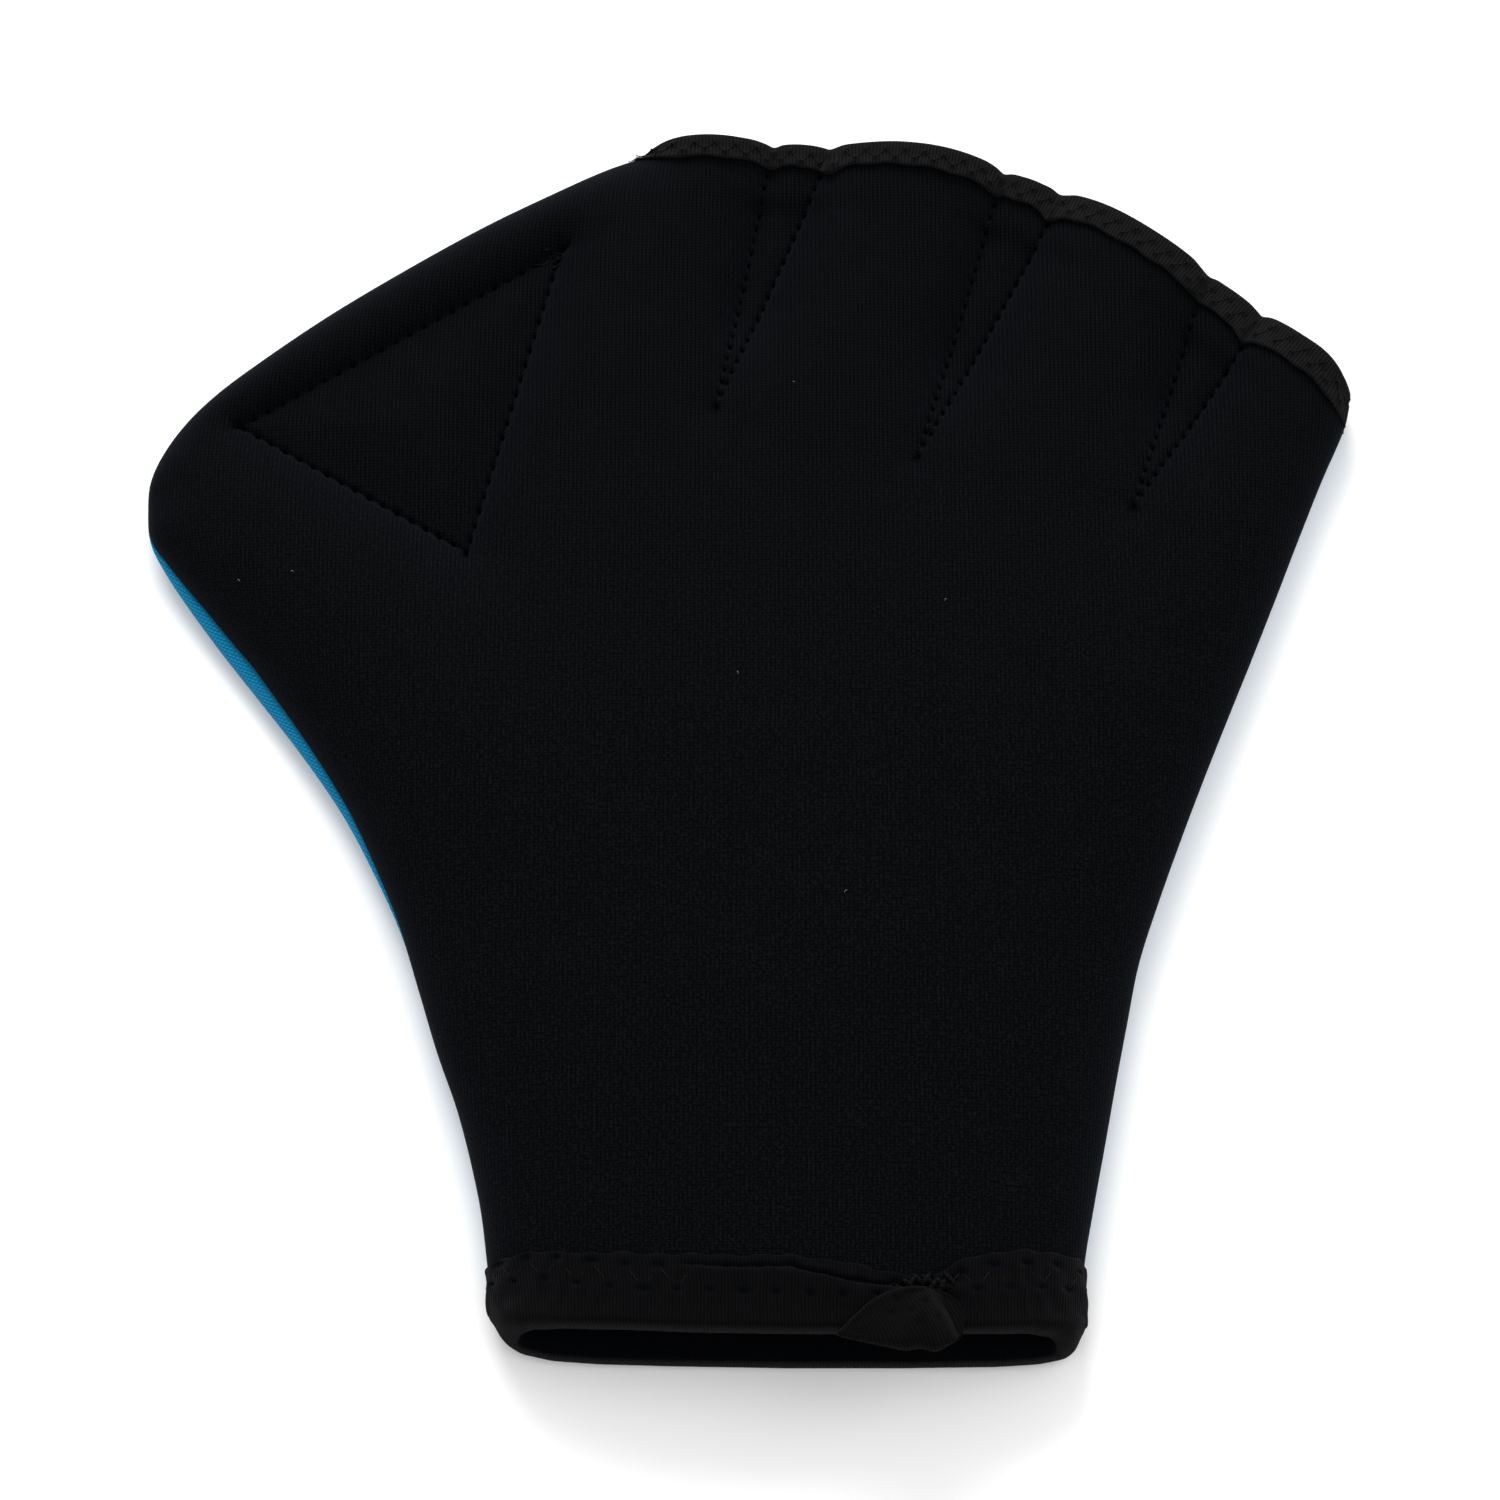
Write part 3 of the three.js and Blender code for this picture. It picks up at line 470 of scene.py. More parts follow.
# Foam rubber faced with knit jersey. The loops stand in wales of little Vs, dull and without gloss,
# and catch a faint bluish light where they turn away.
def jerseyOverFoam(name, look):
    material, tree = newLook(name)
    weave = addNode(tree, "ShaderNodeAttribute", {"attribute_name": "weave"})
    split = addNode(tree, "ShaderNodeSeparateXYZ", links={0: weave.outputs["Vector"]})
    drift = addNode(
        tree, "ShaderNodeTexNoise", {"Scale": 1 / look["driftSize"], "Detail": 2.0},
        {"Vector": weave.outputs["Vector"]},
    )
    wales = addNode(
        tree, "ShaderNodeMath", {"operation": "MULTIPLY_ADD", 1: 1 / look["waleWidth"]},
        {0: split.outputs["X"]},
    )
    tree.links.new(
        addNode(tree, "ShaderNodeMath", {"operation": "MULTIPLY", 1: look["drift"]},
                {0: drift.outputs["Fac"]}).outputs[0],
        wales.inputs[2],
    )
    ribAngle = addNode(
        tree, "ShaderNodeMath", {"operation": "MULTIPLY", 1: math.pi}, {0: wales.outputs[0]},
    )
    ribSine = addNode(tree, "ShaderNodeMath", {"operation": "SINE"}, {0: ribAngle.outputs[0]})
    ribs = addNode(tree, "ShaderNodeMath", {"operation": "ABSOLUTE"}, {0: ribSine.outputs[0]})
    lean = addNode(
        tree, "ShaderNodeMath", {"operation": "PINGPONG", 1: 0.5}, {0: wales.outputs[0]},
    )
    courses = addNode(
        tree, "ShaderNodeMath", {"operation": "MULTIPLY_ADD", 1: 1 / look["courseHeight"]},
        {0: split.outputs["Y"]},
    )
    tree.links.new(
        addNode(tree, "ShaderNodeMath", {"operation": "MULTIPLY", 1: look["loopLean"]},
                {0: lean.outputs[0]}).outputs[0],
        courses.inputs[2],
    )
    courseAngle = addNode(
        tree, "ShaderNodeMath", {"operation": "MULTIPLY", 1: 2 * math.pi}, {0: courses.outputs[0]},
    )
    courseSine = addNode(tree, "ShaderNodeMath", {"operation": "SINE"}, {0: courseAngle.outputs[0]})
    loops = addNode(
        tree, "ShaderNodeMath", {"operation": "MULTIPLY_ADD", 1: 0.32, 2: 0.68},
        {0: courseSine.outputs[0]},
    )
    knit = addNode(
        tree, "ShaderNodeMath", {"operation": "MULTIPLY"}, {0: ribs.outputs[0], 1: loops.outputs[0]},
    )
    # Dye and nap vary a little over a few millimetres
    cloud = addNode(
        tree, "ShaderNodeTexNoise", {"Scale": 1 / look["cloudSize"], "Detail": 4.0, "Roughness": 0.6},
        {"Vector": weave.outputs["Vector"]},
    )
    clouded = addNode(
        tree, "ShaderNodeMath", {"operation": "MULTIPLY_ADD", 1: look["cloud"]},
        {0: cloud.outputs["Fac"], 2: knit.outputs[0]},
    )
    # Nap stands up in fine specks, rougher toward the wrist
    specks = addNode(
        tree, "ShaderNodeTexNoise", {"Scale": 1 / look["napSize"], "Detail": 3.0, "Roughness": 0.7},
        {"Vector": weave.outputs["Vector"]},
    )
    centred = addNode(
        tree, "ShaderNodeMath", {"operation": "SUBTRACT", 1: 0.53}, {0: specks.outputs["Fac"]},
    )
    rough = addNode(
        tree, "ShaderNodeMapRange", {1: 60.0, 2: -10.0, 3: look["napSmooth"], 4: look["napRough"]},
        {0: split.outputs["Y"]},
    )
    blend = addNode(
        tree, "ShaderNodeMath", {"operation": "MULTIPLY_ADD"},
        {0: centred.outputs[0], 1: rough.outputs[0], 2: clouded.outputs[0]},
    )
    ramp = addNode(tree, "ShaderNodeValToRGB", links={0: blend.outputs[0]})
    ramp.color_ramp.elements[0].position = 0.15 + look["cloud"] * 0.5
    ramp.color_ramp.elements[0].color = linear(look["grooveColour"])
    ramp.color_ramp.elements[1].position = 0.95 + look["cloud"] * 0.5
    ramp.color_ramp.elements[1].color = linear(look["loopColour"])
    # Painted shade: needle holes and creases are mixed toward a dark colour by the mask
    holes = addNode(tree, "ShaderNodeAttribute", {"attribute_name": "paintedShade"})
    shade = addNode(
        tree, "ShaderNodeMix", {"data_type": "RGBA", "blend_type": "MIX"},
        {0: holes.outputs["Fac"], 6: ramp.outputs["Color"]},
    )
    shade.inputs[7].default_value = linear(look["paintedShadeColour"])
    relief = addNode(
        tree, "ShaderNodeBump", {"Strength": look["relief"], "Distance": look["loopRise"] * mm},
        {"Height": knit.outputs[0]},
    )
    surface = addNode(
        tree, "ShaderNodeBsdfPrincipled",
        {
            "Roughness": 0.9,
            "IOR": 1.45,
            "Specular IOR Level": look["gloss"],
            "Sheen Weight": look["sheen"],
            "Sheen Roughness": 0.45,
            "Sheen Tint": linear(look["sheenColour"]),
        },
        {"Base Color": shade.outputs[2], "Normal": relief.outputs["Normal"]},
    )
    addNode(tree, "ShaderNodeOutputMaterial", links={0: surface.outputs[0]})
    return material


# Narrow knitted binding tape of dull spun yarn: fine cords run across it, with a little fuzz
def ribbedTape(name, look):
    material, tree = newLook(name)
    weave = addNode(tree, "ShaderNodeAttribute", {"attribute_name": "weave"})
    split = addNode(tree, "ShaderNodeSeparateXYZ", links={0: weave.outputs["Vector"]})
    drift = addNode(
        tree, "ShaderNodeTexNoise", {"Scale": 1 / look["driftSize"], "Detail": 3.0},
        {"Vector": weave.outputs["Vector"]},
    )
    push = addNode(
        tree, "ShaderNodeMath", {"operation": "MULTIPLY", 1: look["drift"]}, {0: drift.outputs["Fac"]},
    )
    cords = addNode(
        tree, "ShaderNodeMath", {"operation": "MULTIPLY_ADD", 1: math.pi / look["cordWidth"]},
        {0: split.outputs["X"], 2: push.outputs[0]},
    )
    cordSine = addNode(tree, "ShaderNodeMath", {"operation": "SINE"}, {0: cords.outputs[0]})
    ribs = addNode(tree, "ShaderNodeMath", {"operation": "ABSOLUTE"}, {0: cordSine.outputs[0]})
    rows = addNode(
        tree, "ShaderNodeMath", {"operation": "MULTIPLY", 1: 2 * math.pi / look["rowHeight"]},
        {0: split.outputs["Y"]},
    )
    rowSine = addNode(tree, "ShaderNodeMath", {"operation": "SINE"}, {0: rows.outputs[0]})
    steps = addNode(
        tree, "ShaderNodeMath", {"operation": "MULTIPLY_ADD", 1: 0.12, 2: 0.88}, {0: rowSine.outputs[0]},
    )
    knit = addNode(
        tree, "ShaderNodeMath", {"operation": "MULTIPLY"}, {0: ribs.outputs[0], 1: steps.outputs[0]},
    )
    fuzz = addNode(
        tree, "ShaderNodeTexNoise", {"Scale": 1 / look["fuzzSize"], "Detail": 5.0, "Roughness": 0.7},
        {"Vector": weave.outputs["Vector"]},
    )
    blend = addNode(
        tree, "ShaderNodeMath", {"operation": "MULTIPLY_ADD", 1: look["fuzz"]},
        {0: fuzz.outputs["Fac"], 2: knit.outputs[0]},
    )
    ramp = addNode(tree, "ShaderNodeValToRGB", links={0: blend.outputs[0]})
    ramp.color_ramp.elements[0].position = 0.2 + look["fuzz"] * 0.5
    ramp.color_ramp.elements[0].color = linear(look["grooveColour"])
    ramp.color_ramp.elements[1].position = 1.0
    ramp.color_ramp.elements[1].color = linear(look["cordColour"])
    # Painted shade: stitch pulls, the slit, creases and the inside of the fold are mixed toward a dark colour by
    # the mask
    holes = addNode(tree, "ShaderNodeAttribute", {"attribute_name": "paintedShade"})
    shade = addNode(
        tree, "ShaderNodeMix", {"data_type": "RGBA", "blend_type": "MIX"},
        {0: holes.outputs["Fac"], 6: ramp.outputs["Color"]},
    )
    shade.inputs[7].default_value = linear(look["paintedShadeColour"])
    relief = addNode(
        tree, "ShaderNodeBump", {"Strength": look["relief"], "Distance": look["cordRise"] * mm},
        {"Height": blend.outputs[0]},
    )
    surface = addNode(
        tree, "ShaderNodeBsdfPrincipled",
        {
            "Roughness": 0.95,
            "IOR": 1.45,
            "Specular IOR Level": look["gloss"],
            "Sheen Weight": look["sheen"],
            "Sheen Roughness": 0.5,
            "Sheen Tint": linear(look["sheenColour"]),
        },
        {"Base Color": shade.outputs[2], "Normal": relief.outputs["Normal"]},
    )
    addNode(tree, "ShaderNodeOutputMaterial", links={0: surface.outputs[0]})
    return material


# Spun polyester sewing thread: two plies twisted together, a little smoother than the cloth
def sewingThread(name, look):
    material, tree = newLook(name)
    weave = addNode(tree, "ShaderNodeAttribute", {"attribute_name": "weave"})
    split = addNode(tree, "ShaderNodeSeparateXYZ", links={0: weave.outputs["Vector"]})
    twist = addNode(
        tree, "ShaderNodeMath", {"operation": "MULTIPLY_ADD", 1: 2 * math.pi / look["twistLength"]},
        {0: split.outputs["X"], 2: split.outputs["Y"]},
    )
    ply = addNode(tree, "ShaderNodeMath", {"operation": "SINE"}, {0: twist.outputs[0]})
    ramp = addNode(tree, "ShaderNodeValToRGB", links={0: ply.outputs[0]})
    ramp.color_ramp.elements[0].color = linear(look["deepColour"])
    ramp.color_ramp.elements[1].color = linear(look["plyColour"])
    relief = addNode(
        tree, "ShaderNodeBump", {"Strength": 0.6, "Distance": look["plyRise"] * mm},
        {"Height": ply.outputs[0]},
    )
    surface = addNode(
        tree, "ShaderNodeBsdfPrincipled",
        {"Roughness": 0.6, "IOR": 1.5, "Specular IOR Level": look["gloss"]},
        {"Base Color": ramp.outputs["Color"], "Normal": relief.outputs["Normal"]},
    )
    addNode(tree, "ShaderNodeOutputMaterial", links={0: surface.outputs[0]})
    return material


# Matt white board under the glove
def paintedBoard(name, look):
    material, tree = newLook(name)
    grain = addNode(tree, "ShaderNodeTexNoise", {"Scale": 1 / (look["grainSize"] * mm), "Detail": 3.0})
    place = addNode(tree, "ShaderNodeTexCoord")
    tree.links.new(place.outputs["Object"], grain.inputs["Vector"])
    relief = addNode(
        tree, "ShaderNodeBump", {"Strength": 0.1, "Distance": 0.02 * mm}, {"Height": grain.outputs["Fac"]},
    )
    surface = addNode(
        tree, "ShaderNodeBsdfPrincipled",
        {"Base Color": linear(look["colour"]), "Roughness": 0.9, "Specular IOR Level": 0.1},
        {"Normal": relief.outputs["Normal"]},
    )
    addNode(tree, "ShaderNodeOutputMaterial", links={0: surface.outputs[0]})
    return material


palmJersey = jerseyOverFoam("black_jersey_over_foam", {
    "waleWidth": 0.66, "courseHeight": 0.5, "loopLean": 1.0, "driftSize": 9.0, "drift": 0.5,
    "cloudSize": 6.0, "cloud": 0.35, "napSize": 0.5, "napSmooth": 1.0, "napRough": 6.5,
    "grooveColour": "#010203", "loopColour": "#080a0c",
    "paintedShadeColour": "#000000", "relief": 0.6, "loopRise": 0.12, "gloss": 0.03, "sheen": 0.02,
    "sheenColour": "#c8d8ff",
})
liningJersey = jerseyOverFoam("black_lining_jersey", {
    "waleWidth": 0.8, "courseHeight": 0.6, "loopLean": 0.4, "driftSize": 9.0, "drift": 0.5,
    "cloudSize": 6.0, "cloud": 0.3, "napSize": 0.45, "napSmooth": 0.6, "napRough": 1.5,
    "grooveColour": "#010203", "loopColour": "#060a0f",
    "paintedShadeColour": "#000000", "relief": 1.0, "loopRise": 0.2, "gloss": 0.03, "sheen": 0.02,
    "sheenColour": "#c8d8ff",
})
backJersey = jerseyOverFoam("blue_jersey_over_foam", {
    "waleWidth": 0.6, "courseHeight": 0.5, "loopLean": 1.0, "driftSize": 9.0, "drift": 0.5,
    "cloudSize": 6.0, "cloud": 0.3, "napSize": 0.45, "napSmooth": 0.3, "napRough": 0.5,
    "grooveColour": "#00577c", "loopColour": "#0f82ad",
    "paintedShadeColour": "#002c40", "relief": 0.8, "loopRise": 0.12, "gloss": 0.1, "sheen": 0.05,
    "sheenColour": "#ffffff",
})
wristTapeKnit = ribbedTape("dark_grey_binding_tape", {
    "cordWidth": 0.52, "rowHeight": 0.4, "driftSize": 5.0, "drift": 4.0, "fuzzSize": 0.5,
    "fuzz": 0.45, "grooveColour": "#020203", "cordColour": "#070708", "paintedShadeColour": "#010306",
    "relief": 0.8, "cordRise": 0.14, "gloss": 0.03, "sheen": 0.02, "sheenColour": "#f4f4ff",
})
tapeEndKnit = ribbedTape("crumpled_tape_end", {
    "cordWidth": 0.52, "rowHeight": 0.4, "driftSize": 3.0, "drift": 5.0, "fuzzSize": 0.6,
    "fuzz": 0.9, "grooveColour": "#030304", "cordColour": "#080808", "paintedShadeColour": "#020305",
    "relief": 0.7, "cordRise": 0.14, "gloss": 0.03, "sheen": 0.02, "sheenColour": "#f4f4ff",
})
tipTapeKnit = ribbedTape("grey_binding_tape", {
    "cordWidth": 0.52, "rowHeight": 0.4, "driftSize": 5.0, "drift": 4.0, "fuzzSize": 0.5,
    "fuzz": 0.45, "grooveColour": "#080809", "cordColour": "#151516", "paintedShadeColour": "#040404",
    "relief": 0.8, "cordRise": 0.14, "gloss": 0.03, "sheen": 0.02, "sheenColour": "#f4f4ff",
})
blackThread = sewingThread("black_sewing_thread", {
    "twistLength": 0.6, "plyRise": 0.04, "deepColour": "#020203", "plyColour": "#08090b",
    "gloss": 0.04,
})
greyThread = sewingThread("grey_sewing_thread", {
    "twistLength": 0.6, "plyRise": 0.04, "deepColour": "#050506", "plyColour": "#0f0f10",
    "gloss": 0.05,
})
tipThread = sewingThread("light_grey_sewing_thread", {
    "twistLength": 0.6, "plyRise": 0.04, "deepColour": "#0b0b0c", "plyColour": "#171718",
    "gloss": 0.05,
})
paleLint = sewingThread("pale_lint", {
    "twistLength": 0.4, "plyRise": 0.01, "deepColour": "#5a6068", "plyColour": "#8d939a",
    "gloss": 0.02,
})
boardWhite = paintedBoard("white_board", {"grainSize": 1.2, "colour": "#f2f2f2"})
print("materials ready")


# Triangles that fill an outline, with its points first, through the given inner points
def fillPlan(outline, inner):
    points = np.vstack([outline, inner])
    coords = [Vector(p) for p in points]
    edge = [list(range(len(outline)))]
    found, _, faces, *_ = geometry.delaunay_2d_cdt(coords, [], edge, 1, 1e-6)
    places = np.array([tuple(p) for p in found])
    if len(places) != len(points) or abs(places - points).max() > 1e-3:
        raise RuntimeError("two plan points fell together")
    return points, [list(face) for face in faces]


def offsetLine(line, distance):
    before = line[np.maximum(np.arange(len(line)) - 1, 0)]
    after = line[np.minimum(np.arange(len(line)) + 1, len(line) - 1)]
    way = after - before
    way = way / np.hypot(way[:, 0], way[:, 1])[:, None]
    return line + distance * np.column_stack([way[:, 1], -way[:, 0]])


# Panel plan: the outline once round, with flags for points on the side seams
panels = {
    "edgeStep": 1.15,
    "sideBands": [0.05, 0.22, 0.55, 1.05, 1.75, 2.6],
    "seamRows": [0, 0.22, 0.46, 0.76, 1.15],
    "rowsReach": 1.35,
}
thumbStations = smoothLine(toPlan(thumbSide), panels["edgeStep"])
littleStations = smoothLine(toPlan(littleSide), panels["edgeStep"])
tipStations = smoothLine(toPlan(tipEdge), panels["edgeStep"])
wristShares = (1 - np.cos(np.linspace(0, math.pi, 91))) / 2
wristStations = np.column_stack([mix(wristLeft, wristRight, wristShares), wristY(wristShares)])
outline = np.vstack([
    thumbStations[:-1], tipStations[:-1], littleStations[::-1][:-1], wristStations[::-1][:-1],
])
seamCorner = len(thumbStations) - 1
tipCorner = seamCorner + len(tipStations) - 1
wristCorner = tipCorner + len(littleStations) - 1
numbers = np.arange(len(outline))
onSide = (numbers <= seamCorner) | ((numbers >= tipCorner) & (numbers <= wristCorner))
onThumbSide = numbers <= seamCorner


# Inner plan points: bands along the sides, rows along the stitch lines and an open field
def innerPoints(step, alongSeams):
    def clearOf(points, gap):
        ring = np.vstack([outline, outline[:1]])
        inside = insideRing(outline, points[:, 0], points[:, 1])
        return points[inside & (nearest(ring, points[:, 0], points[:, 1])["distance"] > gap)]

    made = []
    for band in panels["sideBands"]:
        for line, side in ((thumbStations, 1), (littleStations, -1)):
            made.append(clearOf(offsetLine(line, side * band), band * 0.85))
    if alongSeams:
        for i, row in enumerate(stitchLines):
            line = spaced(row["line"], alongSeams)
            for off in panels["seamRows"]:
                for side in (1, -1) if off else (1,):
                    points = clearOf(offsetLine(line, side * off), panels["sideBands"][-1] + 0.3)
                    for earlier in stitchLines[:i]:
                        far = nearest(earlier["line"], points[:, 0], points[:, 1])["distance"]
                        points = points[far > panels["rowsReach"]]
                    made.append(points)
    rows = np.arange(-halfLength, halfLength, step * math.sqrt(0.75))
    columns = np.arange(-halfWidth, halfWidth, step)
    field = np.array([
        (x + (i % 2) * step / 2, y + 1e-3 * math.sin(x)) for i, y in enumerate(rows) for x in columns
    ])
    ring = np.vstack([outline, outline[:1]])
    field = field[insideRing(outline, field[:, 0], field[:, 1])]
    toSide = np.minimum(
        nearest(thumbStations, field[:, 0], field[:, 1])["distance"],
        nearest(littleStations, field[:, 0], field[:, 1])["distance"],
    )
    field = field[toSide > panels["sideBands"][-1] + step * 0.5]
    field = field[nearest(ring, field[:, 0], field[:, 1])["distance"] > 0.4]
    if alongSeams:
        for row in stitchLines:
            far = nearest(row["line"], field[:, 0], field[:, 1])["distance"]
            field = field[far > panels["rowsReach"] + step * 0.3]
    return np.vstack(made + [field])


def edgeWalls(first, second):
    walls = []
    for i in range(len(outline)):
        j = (i + 1) % len(outline)
        isSide = onSide[i] and onSide[j] and not (i == seamCorner and j == tipCorner)
        if not isSide or i in (seamCorner, wristCorner):
            walls.append([first[i], first[j], second[j], second[i]])
    return walls


finePlan, fineFaces = fillPlan(outline, innerPoints(0.9, 0.31))
middlePlan, middleFaces = fillPlan(outline, innerPoints(1.4, 0.4))
coarsePlan, coarseFaces = fillPlan(outline, innerPoints(2.4, 0))
print("plans filled", len(finePlan), len(middlePlan), len(coarsePlan))


# Palm panel: the outer face with its stitching, and the inner face a wall's thickness below
palmSheet = {"unevenness": 0.22, "fadeIn": 9.0}


def palmFace(x, y):
    fade = ease(roll(x, y) / palmSheet["fadeIn"])
    drop, hole = stitchRelief(x, y)
    return palmTop(x, y) + unevenness(x, y, palmSheet["unevenness"]) * fade - drop, hole


def makePalm():
    count = len(outline)
    x, y = finePlan.T
    z, hole = palmFace(x, y)
    z[:count] = np.where(onSide, palmSeam, z[:count])
    top = np.column_stack([*palmPlace(x, y), z])
    cx, cy = coarsePlan.T
    wall = wallAt(cx, cy) * slopeFactor(palmTop, cx, cy)
    lower = np.maximum(palmSeam, palmTop(cx, cy) - wall)
    bottom = np.column_stack([*palmPlace(cx, cy), lower])
    points = np.vstack([top, bottom])
    # On the side seams both faces share their points
    under = np.arange(len(coarsePlan)) + len(finePlan)
    under[:count] = np.where(onSide, np.arange(count), under[:count])
    faces = list(fineFaces)
    looks = [0] * len(faces)
    inner = [[under[a], under[c], under[b]] for a, b, c in coarseFaces]
    walls = edgeWalls(np.arange(count), under)
    faces += inner + walls
    looks += [1] * (len(inner) + len(walls))
    weave = np.vstack([weaveOf(x, y), weaveOf(cx, cy)])
    paintedShade = np.concatenate([hole, np.zeros(len(cx))])
    faces = [[int(i) for i in face] for face in faces]
    return makePiece(
        "palm_panel_cloth", points, faces, [palmJersey, liningJersey], ["palm_panel"],
        looks, weave, paintedShade,
    )


# Back panel: blue outside with its edge turned up round the thumb side, black lining inside
backSheet = {"lipRows": 7, "lipLeast": 0.05}


def makeBack():
    count = len(outline)
    x, y = middlePlan.T
    drop, hole = stitchRelief(x, y)
    z = np.maximum(backBottom(x, y) + drop, 0)
    width, dx, dy = stripShift(*outline.T)
    width = np.where(onThumbSide, width, 0)
    z[:count] = np.where(onSide, backSeam - width, z[:count])
    low = np.column_stack([x, y, z])
    cx, cy = coarsePlan.T
    wall = wallAt(cx, cy) * slopeFactor(backBottom, cx, cy)
    upper = np.minimum(backSeam, backBottom(cx, cy) + wall)
    shift = stripShift(cx, cy)
    inner = np.column_stack([cx + shift[1], cy + shift[2], upper])
    inner[:count, 2] = np.where(onSide, backSeam, inner[:count, 2])
    points = [low, inner]
    weave = [weaveOf(x, y), weaveOf(cx, cy)]
    high = np.arange(len(coarsePlan)) + len(middlePlan)
    lipped = onThumbSide & (width > backSheet["lipLeast"])
    high[:count] = np.where(onSide & ~lipped, np.arange(count), high[:count])
    rows = [np.arange(count)]
    used = len(low) + len(inner)
    for k in range(1, backSheet["lipRows"]):
        turn = math.pi / 2 * k / backSheet["lipRows"]
        share = 1 - math.cos(turn)
        row = outline + np.column_stack([dx, dy]) * share
        points.append(np.column_stack([row, backSeam - width * (1 - math.sin(turn))]))
        weave.append(weaveOf(*outline.T) - np.column_stack([width * turn, 0 * width, 0 * width]))
        rows.append(np.where(lipped, np.arange(count) + used, np.arange(count)))
        used += count
    rows.append(high[:count])
    faces = [[a, c, b] for a, b, c in middleFaces]
    looks = [0] * len(faces)
    lip = []
    for below, above in zip(rows, rows[1:]):
        for i in range(seamCorner):
            lip.append([below[i + 1], below[i], above[i], above[i + 1]])
    faces += lip
    looks += [0] * len(lip)
    lining = [[high[a], high[b], high[c]] for a, b, c in coarseFaces]
    walls = edgeWalls(high, np.arange(count))
    faces += lining + walls
    looks += [1] * (len(lining) + len(walls))
    points = np.vstack(points)
    paintedShade = np.zeros(len(points))
    paintedShade[:len(hole)] = hole
    faces = [[int(i) for i in face] for face in faces]
    return makePiece(
        "back_panel_cloth", points, faces, [backJersey, liningJersey], ["back_panel"],
        looks, np.vstack(weave), paintedShade,
    )


# Rows of a tape folded over an edge, outside and then inside the fold: distance up from the edge,
# height above the outside of the sheet, and the way along the tape's face
def tapeSection(outside, inner, depth, step):
    def chain(lift, stepHere):
        rows = [(u, lift) for u in np.linspace(outside, 0, max(2, round(outside / stepHere)) + 1)]
        count = max(4, round((depth + 2 * lift) / stepHere))
        for k in range(1, count):
            turn = math.pi / 2 - math.pi * k / count
            bulge = max(math.cos(turn), 0) ** 0.6
            rows.append((-lift * bulge, -depth / 2 + (depth / 2 + lift) * math.sin(turn)))
        down = -depth - lift
        return rows + [(u, down) for u in np.linspace(0, inner, max(2, round(inner / stepHere)) + 1)]

    outer = chain(tapeLift, step)
    hidden = chain(glove["tapeGap"], step * 2.5)
    rows = np.array(outer + hidden[::-1])
    way = np.concatenate([[0], np.cumsum(np.hypot(*np.diff(rows, axis=0).T))])
    return rows, way, len(outer)


# Quads between rings of points, ring after ring, closed round the section
def ringFaces(rings, size, closed, flip):
    faces = []
    for i in range(rings if closed else rings - 1):
        a = i * size
        b = ((i + 1) % rings) * size
        for k in range(size):
            m = (k + 1) % size
            face = [a + k, a + m, b + m, b + k]
            faces.append(face[::-1] if flip else face)
    return faces


# Smooth run of rings through key rings, at places counted in key rings
def throughRings(rings, place, closed):
    count = len(rings)
    k = np.floor(place).astype(int)
    t = (place - k)[:, None, None]
    picks = [k + i for i in (-1, 0, 1, 2)]
    picks = [p % count if closed else np.clip(p, 0, count - 1) for p in picks]
    a, b, c, d = (rings[p] for p in picks)
    return 0.5 * (
        2 * b + (c - a) * t + (2 * a - 5 * b + 4 * c - d) * t**2 + (3 * b - a - 3 * c + d) * t**3
    )


def outwardOf(grid, closed, flip):
    ringWay = np.roll(grid, -1, 0) - np.roll(grid, 1, 0) if closed else np.gradient(grid, axis=0)
    normal = np.cross(np.gradient(grid, axis=1), ringWay)
    normal /= np.maximum(np.linalg.norm(normal, axis=-1), 1e-9)[..., None]
    return -normal if flip else normal


# Wrist rim: turn 0 at the thumb side seam, over the palm to the other seam at half a turn, and back
thumbAcross = [(y, x) for x, y in thumbLine]
littleAcross = [(y, x) for x, y in littleLine]


def wristPoint(turn, up):
    share = (1 - np.cos(turn)) / 2
    above = np.maximum(up, 0)
    y = tapeY(share, above)
    x = mix(lookUp(thumbAcross, y), lookUp(littleAcross, y), share)
    over = np.sin(turn) > 0
    px, py = palmPlace(x, y)
    z = np.where(over, palmTop(x, y), backBottom(x, y))
    return np.stack([np.where(over, px, x), np.where(over, py, y) + up - above, z], axis=-1)


